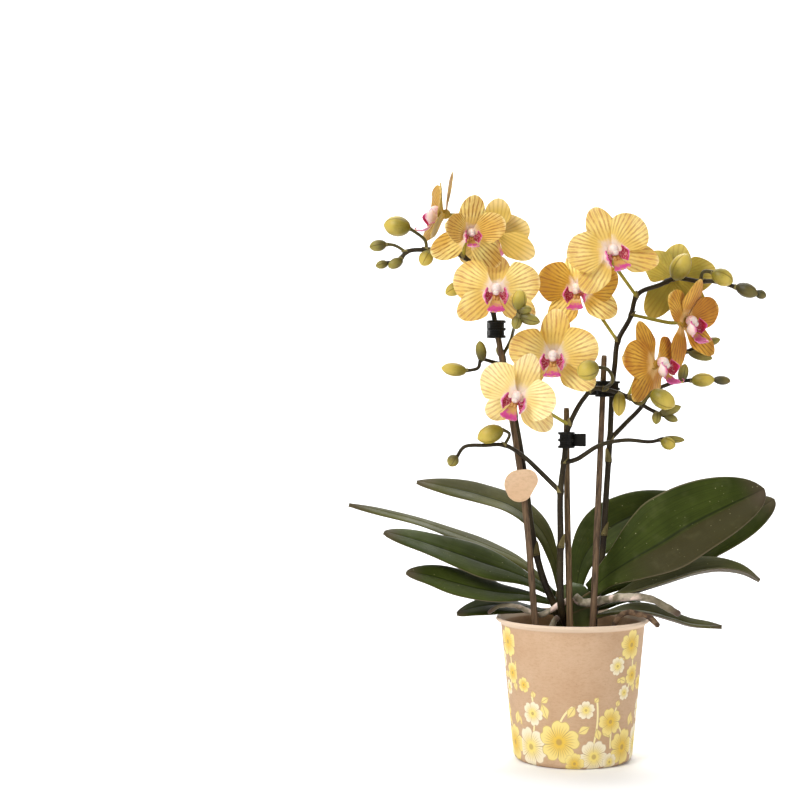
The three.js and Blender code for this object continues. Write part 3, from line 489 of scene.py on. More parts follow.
class Motif(Look):
    """A node group that draws one motif, from places measured ahead and aside of its root."""

    def __init__(self, name, own, outputs):
        self.tree = bpy.data.node_groups.new("print_" + name, "ShaderNodeTree")
        self.names = ["Across", "Up", "X", "Y", "Turn", *own]
        for way, names in (("INPUT", self.names), ("OUTPUT", outputs)):
            for key in names:
                self.tree.interface.new_socket(key, in_out=way, socket_type="NodeSocketFloat")
        given = self.tree.nodes.new("NodeGroupInput").outputs
        across, up, x, y, turn, *self.own = [Value(self, given[key]) for key in self.names]
        dx, dy = across - x, up - y
        cos, sin = self.math("COSINE", turn), self.math("SINE", turn)
        self.ahead = dx * cos + dy * sin
        self.aside = dy * cos - dx * sin

    def give(self, *values):
        """Feeds the group's outputs, in order."""
        made = self.tree.nodes.new("NodeGroupOutput").inputs
        for socket, value in zip(made, values):
            self.feed(socket, value)
        return self

    def draw(self, look, *values):
        """The motif's outputs in a look, with a value for each of its inputs."""
        made = look.tree.nodes.new("ShaderNodeGroup")
        made.node_tree = self.tree
        for key, value in zip(self.names, values):
            look.feed(made.inputs[key], value)
        return [Value(look, output) for output in made.outputs]


def blossom_motif():
    """Five round petals: where they are, how deep their tone is, and their ink."""
    look = Motif("blossom", ["Size"], ["Mask", "Tone", "Ink"])
    away = look.math("SQRT", look.ahead * look.ahead + look.aside * look.aside) / look.own[0]
    angle = look.math("ARCTAN2", look.aside, look.ahead) * (5 / (2 * math.pi)) + away * 0.16
    lobe = look.math("PINGPONG", angle, 0.5) * 2.0
    round_off = look.math("SQRT", 1.0 - look.math("POWER", lobe, 2.4))
    inside = round_off * 0.4 + 0.6 - lobe.ease(0.0, 0.34, 0.09, 0.0) - away
    mask = inside.ease(0.0, 0.03)
    outline = inside.ease(0.025, 0.06, 0.9, 0.0) * mask
    parting = lobe.ease(0.93, 0.98) * away.ease(0.2, 0.3)
    span = away.ease(0.24, 0.34) * away.ease(0.5, 0.82, 0.6, 0.0)
    hairs = (angle * 6.0).stripes(0.06, 0.17) * span
    heart = away.ease(0.1, 0.18, 0.7, 0.0)
    ink = outline.greater(parting).greater(hairs.greater(heart))
    return look.give(mask, away.ease(0.12, 0.8), ink * mask)


def leaflet_motif():
    """A leaflet: where it is, and the ink of its midrib and outline."""
    look = Motif("leaflet", ["Length", "Width"], ["Mask", "Ink"])
    length, width = look.own
    swell = look.math("SINE", (look.ahead / length).ease(0.0, 1.0) * math.pi)
    off = abs(look.aside)
    inside = swell * width - off
    mask = inside.ease(0.0, 0.25)
    ink = inside.ease(0.25, 0.55, 0.8, 0.0).greater(off.ease(0.1, 0.3, 0.8, 0.0))
    return look.give(mask, ink * mask)


def stalk_motif():
    """A stalk: a bowed line."""
    look = Motif("stalk", ["Length", "Bow"], ["Mask"])
    length, bow = look.own
    share = look.ahead / length
    arch = share * (1.0 - share) * 4.0
    ends = share.ease(0.0, 0.02) * share.ease(0.98, 1.0, 1.0, 0.0)
    return look.give(abs(look.aside - arch * bow).ease(0.5, 0.75, 1.0, 0.0) * ends)


def cover_pot_look():
    """Natural card with printed sprays of plain blossoms, and a pale rolled rim."""
    look = Look("card", "#CDAC8C", Specular_IOR_Level=0.25)
    fibres = add_fibres(look, "#C39F7D")
    x, y, up = look.parts(look.place((1000, 1000, 1000)))
    around = look.math("ARCTAN2", x, y * -1.0) * PRINT_RADIUS
    across = look.math("WRAP", around, PRINT_PERIOD / 2, -PRINT_PERIOD / 2)
    blossom, leaflet, stalk = blossom_motif(), leaflet_motif(), stalk_motif()
    for values in STALKS:
        look.tint(stalk.draw(look, across, up, *values)[0], "#F2E2A8")
    for values in LEAFLETS:
        mask, ink = leaflet.draw(look, across, up, *values)
        look.tint(mask, "#EFD98C")
        look.tint(ink * 0.7, PRINT_INK)
    for root_x, root_y, size, turn, (heart, tip) in BLOSSOMS:
        mask, tone, ink = blossom.draw(look, across, up, root_x, root_y, turn, size)
        look.tint(mask, look.mix(tone, heart, tip))
        look.tint(ink * 0.8, PRINT_INK)
    look.tint(up.ease(RIM_LOW, RIM_LOW + 1.2), "#DFC7AE")
    wall = (x * x + y * y).ease(PRINT_FROM**2, PRINT_FROM**2 + 1.0)
    look.colour = look.mix(wall, "#CFAE8A", look.colour)
    look.bump(fibres, 0.2, 0.0002)
    return look.finish(0.66)


# ---------------------------------------------------------------- meshes

class Piece:
    """One piece in the making: its corners, faces, looks and parametric coordinates."""

    def __init__(self, name):
        self.name = name
        self.corners = []
        self.faces = []
        self.face_looks = []
        self.form = []
        self.looks = []

    def add(self, corners, faces, look, form=None):
        start = len(self.corners)
        if look not in self.looks:
            self.looks.append(look)
        self.corners.extend(np.asarray(corners, float).reshape(-1, 3))
        self.faces.extend([tuple(start + i for i in face) for face in faces])
        self.face_looks.extend([self.looks.index(look)] * len(faces))
        self.form.extend(np.zeros((len(self.corners) - start, 2)) if form is None
                         else np.asarray(form, float).reshape(-1, 2))

    def sheet(self, front, back, front_look, back_look, form):
        """A closed sheet from two grids of points, with its edges in the back's look."""
        rows, row = front.shape[:2]
        layer = rows * row
        top, bottom = [], []
        for i in range(rows - 1):
            for j in range(row - 1):
                a, b, c, d = i * row + j, (i + 1) * row + j, (i + 1) * row + j + 1, i * row + j + 1
                top.append((a, b, c, d))
                bottom.append((d, c, b, a))
        rim = [i * row for i in range(rows)] + [layer - row + j for j in range(1, row)]
        rim += [i * row + row - 1 for i in range(rows - 2, -1, -1)] + list(range(row - 2, 0, -1))
        edge = [(b, a, layer + a, layer + b) for a, b in zip(rim, rim[1:] + rim[:1])]
        self.add(front, top, front_look, form)
        self.add(back, bottom, back_look, form)
        start = len(self.corners) - 2 * layer
        self.faces.extend([tuple(start + i for i in face) for face in edge])
        self.face_looks.extend([self.looks.index(back_look)] * len(edge))

    def rings(self, look, rings, form):
        """A closed round form from rings of points, with a middle point at each end."""
        count, sides = rings.shape[:2]
        after = [(k + 1) % sides for k in range(sides)]
        faces = [(i * sides + k, i * sides + after[k], (i + 1) * sides + after[k], (i + 1) * sides + k)
                 for i in range(count - 1) for k in range(sides)]
        last = (count - 1) * sides
        low, high = count * sides, count * sides + 1
        for k in range(sides):
            faces.append((low, after[k], k))
            faces.append((high, last + k, last + after[k]))
        corners = [*rings.reshape(-1, 3), rings[0].mean(axis=0), rings[-1].mean(axis=0)]
        self.add(corners, faces, look, [*np.asarray(form).reshape(-1, 2), form[0, 0], form[-1, 0]])

    def finish(self, slot, *nodes, smooth=True, bevel=0.0):
        """The object, which rides on the body and stands for its solids."""
        mesh = bpy.data.meshes.new(self.name)
        mesh.from_pydata((np.array(self.corners) * MM).tolist(), [], self.faces)
        for look in self.looks:
            mesh.materials.append(look)
        mesh.polygons.foreach_set("material_index", self.face_looks)
        mesh.polygons.foreach_set("use_smooth", [smooth] * len(self.faces))
        layer = mesh.uv_layers.new(name=FORM_UV)
        corner_of = np.zeros(len(mesh.loops), dtype=int)
        mesh.loops.foreach_get("vertex_index", corner_of)
        layer.data.foreach_set("uv", np.array(self.form)[corner_of].ravel())
        body = bmesh.new()
        body.from_mesh(mesh)
        bmesh.ops.remove_doubles(body, verts=body.verts, dist=1e-7)
        bmesh.ops.dissolve_degenerate(body, edges=body.edges, dist=1e-7)
        bmesh.ops.recalc_face_normals(body, faces=body.faces)
        body.to_mesh(mesh)
        body.free()
        made = linked(self.name, mesh)
        if bevel:
            rounded = made.modifiers.new("bevel", "BEVEL")
            rounded.width = bevel * MM
            rounded.segments = 2
            rounded.limit_method = "ANGLE"
        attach(made, ROOT_BODY)
        if nodes:
            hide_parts(*nodes)
        return made


class Route:
    """A smooth curve through points, read by the share of its length."""

    def __init__(self, points, samples=60):
        p = np.array(points, float)
        ends = np.concatenate([[2 * p[0] - p[1]], p, [2 * p[-1] - p[-2]]])
        dense = []
        t = np.linspace(0, 1, samples, endpoint=False)[:, None]
        for a, b, c, d in zip(ends, ends[1:], ends[2:], ends[3:]):
            gaps = [math.sqrt(np.linalg.norm(step)) for step in (b - a, c - b, d - c)]
            leave = ((b - a) / gaps[0] - (c - a) / (gaps[0] + gaps[1]) + (c - b) / gaps[1]) * gaps[1]
            arrive = ((c - b) / gaps[1] - (d - b) / (gaps[1] + gaps[2]) + (d - c) / gaps[2]) * gaps[1]
            dense.append(b + leave * t + (3 * (c - b) - 2 * leave - arrive) * t**2
                         + (2 * (b - c) + leave + arrive) * t**3)
        self.dense = np.concatenate([*dense, [p[-1]]])
        steps = np.linalg.norm(np.diff(self.dense, axis=0), axis=1)
        self.reached = np.concatenate([[0], np.cumsum(steps)])
        self.length = self.reached[-1]

    def at(self, share):
        where = np.asarray(share) * self.length
        return grid(*[np.interp(where, self.reached, self.dense[:, k]) for k in range(3)])

    def heading(self, share):
        share = np.asarray(share, float)
        return unit(self.at(np.minimum(1, share + 0.004)) - self.at(np.maximum(0, share - 0.004)))

    def nearest(self, point):
        """The share of the length nearest to a point, and how far off the point is."""
        away = np.linalg.norm(self.dense - np.array(point, float), axis=1)
        found = int(np.argmin(away))
        return self.reached[found] / self.length, away[found]


def grid(*parts):
    """One array of points from an array, or a number, for each of their parts."""
    return np.stack(np.broadcast_arrays(*parts), axis=-1)


def unit(vectors):
    return vectors / np.linalg.norm(vectors, axis=-1, keepdims=True)


def smooth(a):
    a = np.clip(a, 0, 1)
    return a * a * (3 - 2 * a)


def closing(rows, power):
    """Shares from 0 to 1 that come closer together towards 1, as a column."""
    return (1 - (1 - np.linspace(0, 1, rows)) ** power)[:, None]


def tube_rings(route, radius, step, sides, swell=None):
    """Rings round a route. radius is a function of the share; swell changes it round each ring."""
    count = max(4, int(route.length / step) + 1)
    shares = np.linspace(0, 1, count)
    headings = route.heading(shares)
    aside = unit(np.cross(headings[0], [0.3, 0.9, 0.2]))
    angles = np.linspace(0, 2 * math.pi, sides, endpoint=False)
    rings = []
    for share, centre, heading in zip(shares, route.at(shares), headings):
        aside = unit(aside - heading * aside.dot(heading))
        reach = radius(share) * (1 if swell is None else swell(share, angles))
        other = np.cross(heading, aside)
        rings.append(centre + np.outer(np.cos(angles) * reach, aside)
                     + np.outer(np.sin(angles) * reach, other))
    return np.array(rings), grid(angles / (2 * math.pi), shares[:, None])


def lathe(profile, segments):
    """Rings of a turned form from [radius, height] points, round the Z axis."""
    angles = np.linspace(0, 2 * math.pi, segments, endpoint=False)
    radius, height = np.array(profile, float).T[:, :, None]
    rings = grid(radius * np.cos(angles), radius * np.sin(angles), height)
    return rings, grid(angles / (2 * math.pi), np.linspace(0, 1, len(profile))[:, None])


def ball_profile(steps, least):
    """The profile of a ball of radius 1, with at least this radius at both ends."""
    turns = np.linspace(-math.pi / 2, math.pi / 2, steps)
    return [[max(least, math.cos(t)), math.sin(t)] for t in turns]


def blade(piece, line, along, across, up, reach, levels, looks, move=None):
    """A sheet along a line: reach says how far aside its points are, levels how far up its faces."""
    route = Route(line)
    heading = route.heading(along[:, 0])
    up = unit(up - heading * (up * heading).sum(axis=1, keepdims=True))
    sheet = route.at(along[:, 0])[:, None] + reach[..., None] * np.cross(up, heading)[:, None]
    faces = [sheet + level[..., None] * up[:, None] for level in levels]
    if move:
        faces = [move(face) for face in faces]
    piece.sheet(*faces, *looks, grid(across, along))


# ---------------------------------------------------------------- pots and bark

CLEARANCE = 0.3
POT_HEIGHT = 88.5
POT_BASE_RADIUS = 37.0
POT_TOP_RADIUS = 44.9
RIM_RADIUS = 48.2
RIM_FLARE_HEIGHT = 5.0
RIM_EDGE = 1.1
WALL_TOP = POT_HEIGHT - RIM_FLARE_HEIGHT
RIM_LOW = WALL_TOP + 0.6
CARD = 1.2
BASE_CORNER = 4.0
POT_SEGMENTS = 180
SEAM_TURNS = (86, 99)  # the flap of the glued seam, in degrees round the pot
SEAM_OUTER = 1.009
SEAM_INNER = 0.999
ON_AXIS = 0.01
GROW_POT_HEIGHT = 76.0
GROW_POT_WALL = 0.9
GROW_POT_GAP = 1.6
GROW_POT_CORNER = 4.0
GROW_POT_SEGMENTS = 96
DRAIN_HOLES = 4
DRAIN_RADIUS = 4
DRAIN_DEEP = 8
DRAIN_FROM_AXIS = 20
BARK_TOP = 70.0
BARK_SEGMENTS = 72
CHIPS = 190
CHIP_TURN = 2.39996  # radians from one chip to the next, which spreads them evenly
CHIP_ROUNDING = 0.35  # 0 leaves a block, 1 makes a ball
CHIP_ROUGH = 0.2


def pot_radius(height):
    return POT_BASE_RADIUS + (POT_TOP_RADIUS - POT_BASE_RADIUS) * (height / WALL_TOP)


def arc(centre, radius, start, end, steps):
    """Points on an arc in a profile, by angle in degrees from the outward direction."""
    angles = np.radians(np.linspace(start, end, steps))
    return [[centre[0] + radius * math.cos(a), centre[1] + radius * math.sin(a)] for a in angles]


def add_cover_pot():
    """The card pot: tapering wall, rounded foot, flared collar and rolled rim, with a glued seam."""
    top = pot_radius(WALL_TOP)
    foot = (pot_radius(BASE_CORNER) - BASE_CORNER, BASE_CORNER)
    edge = (RIM_RADIUS - RIM_EDGE, POT_HEIGHT - RIM_EDGE)
    profile = [[ON_AXIS, 0], [10, 0], [22, 0], *arc(foot, BASE_CORNER, -90, -3, 9)]
    profile += [[pot_radius(h), h] for h in np.linspace(BASE_CORNER + 2, WALL_TOP - 2, 14)]
    profile += [[top, WALL_TOP], [top + 0.5, WALL_TOP + 1.2], [edge[0] - 0.5, edge[1] - 1.3]]
    profile += arc(edge, RIM_EDGE, -50, 150, 12)
    profile += [[top - CARD + 0.5, WALL_TOP + 1.6], [top - CARD, WALL_TOP]]
    profile += [[pot_radius(h) - CARD, h] for h in np.linspace(WALL_TOP - 2, BASE_CORNER + 2, 10)]
    profile += arc(foot, BASE_CORNER - CARD, -3, -90, 6) + [[20, CARD], [ON_AXIS, CARD]]
    piece = Piece("cover_pot_card")
    piece.rings(CARD_LOOK, *lathe(profile, POT_SEGMENTS))
    heights = np.linspace(BASE_CORNER + 1, WALL_TOP - 0.5, 30)[:, None]
    turns = np.radians(np.linspace(*SEAM_TURNS, 9))
    flap = grid(pot_radius(heights) * np.cos(turns), pot_radius(heights) * np.sin(turns), heights)
    outer, inner = flap * [SEAM_OUTER, SEAM_OUTER, 1], flap * [SEAM_INNER, SEAM_INNER, 1]
    piece.sheet(outer, inner, CARD_LOOK, CARD_LOOK, np.zeros((*flap.shape[:2], 2)))
    piece.finish("card", "cover_pot")


def grow_radius(height):
    return pot_radius(height) - CARD - GROW_POT_GAP


def add_grow_pot():
    """The clear inner pot, with a rolled lip and drain holes in its floor."""
    floor = CARD + CLEARANCE
    foot = grow_radius(floor) - GROW_POT_CORNER
    top = grow_radius(GROW_POT_HEIGHT)
    wall = [[grow_radius(h), h] for h in np.linspace(floor + GROW_POT_CORNER, GROW_POT_HEIGHT - 3, 12)]
    lip = [[top - inward, GROW_POT_HEIGHT - down]
           for inward, down in ((0, 2.4), (0, 0.4), (0.4, 0), (0.9, 0.4))]
    back = [[r - GROW_POT_WALL, h] for r, h in reversed(wall)]
    profile = [[ON_AXIS, floor], [foot, floor], *wall, *lip, *back,
               [foot - GROW_POT_WALL, floor + GROW_POT_WALL], [ON_AXIS, floor + GROW_POT_WALL]]
    piece = Piece("grow_pot_clear")
    piece.rings(CLEAR_LOOK, *lathe(profile, GROW_POT_SEGMENTS))
    pot = piece.finish("clear_plastic", "grow_pot")
    for order in range(DRAIN_HOLES):
        turn = 2 * math.pi * order / DRAIN_HOLES
        drill = bpy.data.meshes.new("drill")
        tool = bmesh.new()
        bmesh.ops.create_cone(tool, cap_ends=True, segments=24, radius1=DRAIN_RADIUS * MM,
                              radius2=DRAIN_RADIUS * MM, depth=DRAIN_DEEP * MM)
        at = Vector((DRAIN_FROM_AXIS * math.cos(turn), DRAIN_FROM_AXIS * math.sin(turn), floor)) * MM
        bmesh.ops.translate(tool, verts=tool.verts, vec=at)
        tool.to_mesh(drill)
        tool.free()
        cutter = linked("drill", drill)
        cut = pot.modifiers.new("hole", "BOOLEAN")
        cut.operation = "DIFFERENCE"
        cut.object = cutter
        cut.solver = "EXACT"
        held = pot.evaluated_get(bpy.context.evaluated_depsgraph_get())
        drilled = bpy.data.meshes.new_from_object(held)
        pot.modifiers.clear()
        pot.data = drilled
        bpy.data.objects.remove(cutter)


def bark_radius(height):
    return grow_radius(height) - GROW_POT_WALL - CLEARANCE - 0.6


def add_bark():
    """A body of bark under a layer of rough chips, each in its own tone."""
    draw = random.Random(11)
    low = CARD + CLEARANCE + GROW_POT_WALL + CLEARANCE
    packed = BARK_TOP - 2.5
    piece = Piece("bark_chips")
    profile = [[ON_AXIS, low], [bark_radius(low) - 5, low], [bark_radius(low + 5), low + 5],
               [bark_radius(BARK_TOP), BARK_TOP - 2], [20, packed], [ON_AXIS, packed]]
    rings, form = lathe(profile, BARK_SEGMENTS)
    piece.rings(BARK_LOOK, rings, form * 0)
    for count in range(CHIPS):
        reach = (bark_radius(BARK_TOP) - 5) * math.sqrt((count + 0.5) / CHIPS)
        turn = count * CHIP_TURN + draw.random()
        size = np.array([draw.uniform(2.6, 5.4), draw.uniform(1.8, 3.6), draw.uniform(0.7, 1.5)])
        tilt = [draw.uniform(-0.5, 0.5), draw.uniform(-0.5, 0.5), draw.uniform(0, 6.3)]
        at = [reach * math.cos(turn), reach * math.sin(turn), BARK_TOP - 1 + draw.uniform(-0.8, 1.8)]
        add_chip(piece, at, size, tilt, draw)
    piece.finish("bark", "bark", smooth=False)


def add_chip(piece, at, size, tilt, draw):
    """A bark chip: a flat slab with rough, broken corners."""
    slab = bmesh.new()
    bmesh.ops.create_cube(slab, size=2)
    bmesh.ops.subdivide_edges(slab, edges=slab.edges, cuts=1, use_grid_fill=True)
    corners = np.array([v.co[:] for v in slab.verts])
    faces = [[v.index for v in f.verts] for f in slab.faces]
    slab.free()
    corners = corners / np.linalg.norm(corners, axis=1, keepdims=True) ** CHIP_ROUNDING
    rough = np.array([[draw.uniform(-CHIP_ROUGH, CHIP_ROUGH) for _ in range(3)] for _ in corners])
    corners = corners * (1 + rough) * size
    for axis, angle in enumerate(tilt):
        cos, sin = math.cos(angle), math.sin(angle)
        first, second = (axis + 1) % 3, (axis + 2) % 3
        turned = corners.copy()
        turned[:, first] = cos * corners[:, first] - sin * corners[:, second]
        turned[:, second] = sin * corners[:, first] + cos * corners[:, second]
        corners = turned
    tone = draw.random()
    piece.add(corners + at, faces, BARK_LOOK, [[tone, tone]] * len(corners))


# ---------------------------------------------------------------- leaves, crown and roots

LEAF_ROWS = 56
LEAF_COLUMNS = 25
LEAF_MIDDLE = 2.4  # how thick it is in the middle
LEAF_EDGE = 0.9  # and at the edge
MARGIN_WAVE = 0.9
MARGIN_DROP = 0.9
GROOVE_DEEP = 0.55
GROOVE_WIDTH = 0.045  # as a share of the half-width, as is the keel's
KEEL_HIGH = 0.5
KEEL_WIDTH = 0.06

# Each leaf: midrib from crown to tip, half-width, which way its upper face looks at its root and
# at its tip, how far its halves are folded up along the midrib (degrees), and its upper look.
Leaf = namedtuple("Leaf", "midrib half_width faces fold tone")
LEAVES = {
    "leaf_left_upper": Leaf(
        [(-7.2, 10.9, 105.3), (-11, 13, 123), (-19, 14, 141), (-35, 19, 155), (-57, 24, 163),
         (-78, 27, 168), (-98, 29, 172)], 16, [(0.8, -0.5, 0.5), (0.2, -0.45, 0.9)], 14, "olive"),
    "leaf_left_back": Leaf(
        [(-7.5, 12.5, 99), (-29, 25, 119), (-51, 33, 129), (-73, 38, 137), (-96, 39, 145),
         (-118, 37, 151), (-142, 34, 157)], 12, [(0.35, -0.2, 0.9), (0.2, -0.3, 0.95)], 8, "olive"),
    "leaf_left_front": Leaf(
        [(-10.5, 6, 102), (-33, 9, 113), (-56, 8, 121), (-78, 4, 129), (-98, 0, 136),
         (-119, -5, 142)], 18, [(0.4, -0.5, 0.85), (0.2, -0.5, 0.9)], 8, "deep"),
    "leaf_left_lower": Leaf(
        [(-11.3, 3.3, 97), (-30, 4, 101), (-46, 0, 103), (-60, -4, 106), (-74, -8, 110),
         (-90, -12, 115), (-105, -16, 118)], 16, [(0.1, -0.35, 0.95), (-0.15, -0.6, 0.8)], 12, "deep"),
    "leaf_left_rim": Leaf(
        [(-10.8, 9.3, 90), (-33, 9, 93), (-48, 6, 94.5), (-61, 4, 93), (-73, 2, 90)], 13,
        [(0, -0.2, 1), (-0.2, -0.45, 0.95)], 8, "deep"),
    "leaf_right_front": Leaf(
        [(12, 3, 104), (22, 0, 114), (39, -6, 126), (54, -8, 135), (73, -9, 147), (95, -8, 158),
         (120, -4, 169)], 27, [(-0.3, -0.8, 0.5), (-0.2, -0.85, 0.45)], 22, "flushed_shaded"),
    "leaf_right_under": Leaf(
        [(11.4, 12.8, 100), (22, 14.5, 106), (36, 15, 114), (60, 17, 127), (86, 19, 139),
         (112, 20, 150), (132, 20, 161)], 23, [(-0.2, -0.7, 0.6), (-0.2, -0.8, 0.55)], 12, "deep"),
    "leaf_right_back": Leaf(
        [(3.8, 14.1, 103.5), (10, 27, 122), (24, 37, 138), (45, 44, 149), (68, 48, 155),
         (87, 50, 158)], 19, [(-0.4, -0.8, 0.4), (-0.3, -0.8, 0.55)], 12, "deep"),
    "leaf_right_arched": Leaf(
        [(12.9, -0.9, 95), (27, -5, 101), (40, -9, 106), (57, -13, 112), (75, -16, 118),
         (90, -17, 120), (104, -16, 118), (115, -14, 113)], 14,
        [(-0.2, -0.25, 0.95), (0.2, -0.3, 0.9)], 30, "olive"),
    "leaf_right_rim": Leaf(
        [(11.5, -2, 88), (24, -1, 91), (36, 0, 92), (48, 0, 91), (63, -2, 87), (74, -4, 84),
         (93, -6, 83)], 10, [(0, -0.2, 1), (0.1, -0.3, 0.95)], 24, "olive"),
    "leaf_right_small": Leaf(
        [(9.6, 12.2, 89), (20, 18, 93), (30, 20, 96), (40, 22, 96), (49, 24, 92)], 8,
        [(0, -0.2, 1), (0.2, -0.3, 0.95)], 16, "deep"),
}


def leaf_outline(along):
    """A leaf's half-width along it, as a share."""
    tip = np.maximum(0, 1 - along**3.4) ** 0.56
    return (0.22 + 0.78 * smooth(along / 0.5)) * tip + 0.002


def add_leaf(name, leaf):
    """A thick leaf with a grooved midrib, a keel below and a slightly wavy, turned-down margin."""
    draw = random.Random(name)
    along = closing(LEAF_ROWS, 1.5)
    across = np.linspace(-1, 1, LEAF_COLUMNS)
    root_face, tip_face = np.array(leaf.faces, float)
    reach = leaf.half_width * leaf_outline(along) * across
    thick = LEAF_MIDDLE + (LEAF_EDGE - LEAF_MIDDLE) * np.abs(across) ** 1.3
    thick = thick * np.sqrt(np.maximum(0.02, 1 - np.abs(across) ** 8))
    wave = MARGIN_WAVE * np.sin(8 * along + draw.uniform(0, 6)) * across**2 * np.sign(across + 0.1)
    folded = math.tan(math.radians(leaf.fold)) * (np.sqrt(reach**2 + 2.0) - math.sqrt(2.0))
    rise = folded + wave * smooth(4 * along * (1 - along)) - MARGIN_DROP * np.abs(across) ** 5
    groove = GROOVE_DEEP * np.exp(-(across / GROOVE_WIDTH) ** 2)
    keel = KEEL_HIGH * np.exp(-(across / KEEL_WIDTH) ** 2)
    piece = Piece(name + "_blade")
    blade(piece, leaf.midrib, along, across, root_face + (tip_face - root_face) * along, reach,
          [rise + thick / 2 - groove, rise - thick / 2 - keel], (LEAF_LOOKS[leaf.tone], LEAF_UNDER_LOOK))
    piece.finish("leaf", name)


CROWN_AT = (1.0, 5.0)
CROWN_FLAT = 0.72
CROWN_RADII = [ON_AXIS, 5, 9, 11, 11.6, 11.6, 10.4, 7, ON_AXIS]
CROWN_HEIGHTS = [48.5, 50, 60, 76, 88, 98, 104, 108, 109.5]
CROWN_ROWS = 50
CROWN_SIDES = 48
CROWN_INSET = 0.3  # how far the core lies inside these radii
SHEATH_TALL = 15.0
SHEATH_THICK = 0.7
SHEATH_HALF_TURN = 1.5  # radians
SHEATH_ROWS = 12
SHEATH_COLUMNS = 21


def add_crown():
    """The crown, wrapped in the clasping bases of its leaves."""
    fine = np.linspace(CROWN_HEIGHTS[0], CROWN_HEIGHTS[-1], CROWN_ROWS)
    profile = [[float(np.interp(h, CROWN_HEIGHTS, CROWN_RADII)) - CROWN_INSET, h] for h in fine]
    profile[0][0] = profile[-1][0] = ON_AXIS
    rings, form = lathe(profile, CROWN_SIDES)
    piece = Piece("crown_bases")
    piece.rings(CROWN_LOOK, rings * [1, CROWN_FLAT, 1] + [*CROWN_AT, 0], form * [1, 0.5])
    along = np.linspace(0, 1, SHEATH_ROWS)[:, None]
    across = np.linspace(-1, 1, SHEATH_COLUMNS)
    for order, leaf in enumerate(LEAVES.values()):
        x, y, z = leaf.midrib[0]
        angle = math.atan2((y - CROWN_AT[1]) / CROWN_FLAT, x - CROWN_AT[0]) + across * SHEATH_HALF_TURN
        height = z - SHEATH_TALL + along * SHEATH_TALL * (1 - 0.45 * across**2)
        radius = np.interp(height, CROWN_HEIGHTS, CROWN_RADII) + 0.15 + 0.1 * (order % 3) + 0.3 * along
        out = grid(np.cos(angle), np.sin(angle) * CROWN_FLAT, 0)
        foot = grid(*CROWN_AT, height)
        skins = [foot + reach[..., None] * out for reach in (radius, radius - SHEATH_THICK)]
        piece.sheet(*skins, CROWN_LOOK, CROWN_LOOK, grid(across, along))
    piece.finish("leaf", "crown")


ROOT_STEP = 0.7
ROOT_SIDES = 18
ROOT_TIP = 0.035  # the share of a root that rounds off at its end
# Each root: its route, and its radius at both ends.
ROOTS = {
    "root_left": ([(-3.8, -4.5, 99), (-8, -8, 97.5), (-13, -10.2, 95), (-21, -10, 91), (-28, -10, 93),
                   (-35, -10, 96), (-43, -10, 97), (-48, -10, 96), (-54, -11, 92)], (2, 1.2)),
    "root_right": ([(1, -5.7, 102), (5, -8, 98.5), (12, -9.5, 99), (20, -13, 101), (31, -18, 103),
                    (42, -20, 103), (49, -20, 101), (56, -19, 97), (65, -18, 92)], (2.6, 2.2)),
    "root_dry": ([(22, -20, 66), (24, -23, 88), (30, -24, 94), (38, -26, 93.5), (44, -27, 92),
                  (50, -29, 86)], (1.5, 1.9)),
    "root_tip": ([(-16, -10, 66), (-15, -14, 80), (-13, -17, 88), (-10.5, -18.5, 91)], (2.2, 1.8)),
}


def between(ends, share):
    """A measure that changes evenly from one end to the other."""
    return ends[0] + (ends[1] - ends[0]) * share


def add_root(name, points, radii):
    """An aerial root with a slightly lumpy skin and a rounded end."""
    draw = random.Random(name)
    phases = [draw.uniform(0, 6) for _ in range(3)]

    def radius(share):
        lumps = 1 + 0.05 * math.sin(31 * share + phases[0]) + 0.04 * math.sin(67 * share + phases[1])
        tip = math.sqrt(max(0.02, 1 - max(0.0, 1 - (1 - share) / ROOT_TIP) ** 2))
        return between(radii, share) * lumps * tip

    def swell(share, angles):
        return 1 + 0.04 * np.sin(3 * angles + 40 * share + phases[2])

    piece = Piece(name + "_skin")
    look = DRY_ROOT_LOOK if name == "root_dry" else ROOT_LOOK
    piece.rings(look, *tube_rings(Route(points), radius, ROOT_STEP, ROOT_SIDES, swell))
    piece.finish("root", name)


# ---------------------------------------------------------------- sticks, clips and tag

STICK_RADIUS = 2.0
STICK_TAPER = 0.2  # how much more the radius is at the foot, and how much less at the top
STICK_STEP = 2.0
STICK_SIDES = 20
STICKS = {
    "stick_left": [(-19, -18, 14), (-25.5, -16, 95), (-31, -10, 161), (-48, -3, 271)],
    "stick_middle": [(-2, -16, 14), (-3.5, -13, 110), (-4, -7, 160), (-4, -2, 220)],
    "stick_right": [(7, -19, 14), (11.5, -16.5, 100), (17, -7, 200), (20, 0, 253)],
}


def add_stick(name, points):
    """A stake: nearly round, faintly faceted, with a sawn top."""
    phase = random.Random(name).uniform(0, 6)

    def radius(share):
        chamfer = 1 - 0.12 * max(0.0, 1 - (1 - share) * 120)
        taper = STICK_RADIUS + STICK_TAPER * (1 - 2 * share)
        return taper * chamfer * (1 + 0.012 * math.sin(50 * share + phase))

    def swell(_share, angles):
        return 1 + 0.025 * np.cos(5 * angles + phase)

    piece = Piece(name + "_stake")
    look = STICK_PALE_LOOK if name == "stick_middle" else STICK_LOOK
    piece.rings(look, *tube_rings(Route(points), radius, STICK_STEP, STICK_SIDES, swell))
    piece.finish("stick", name)


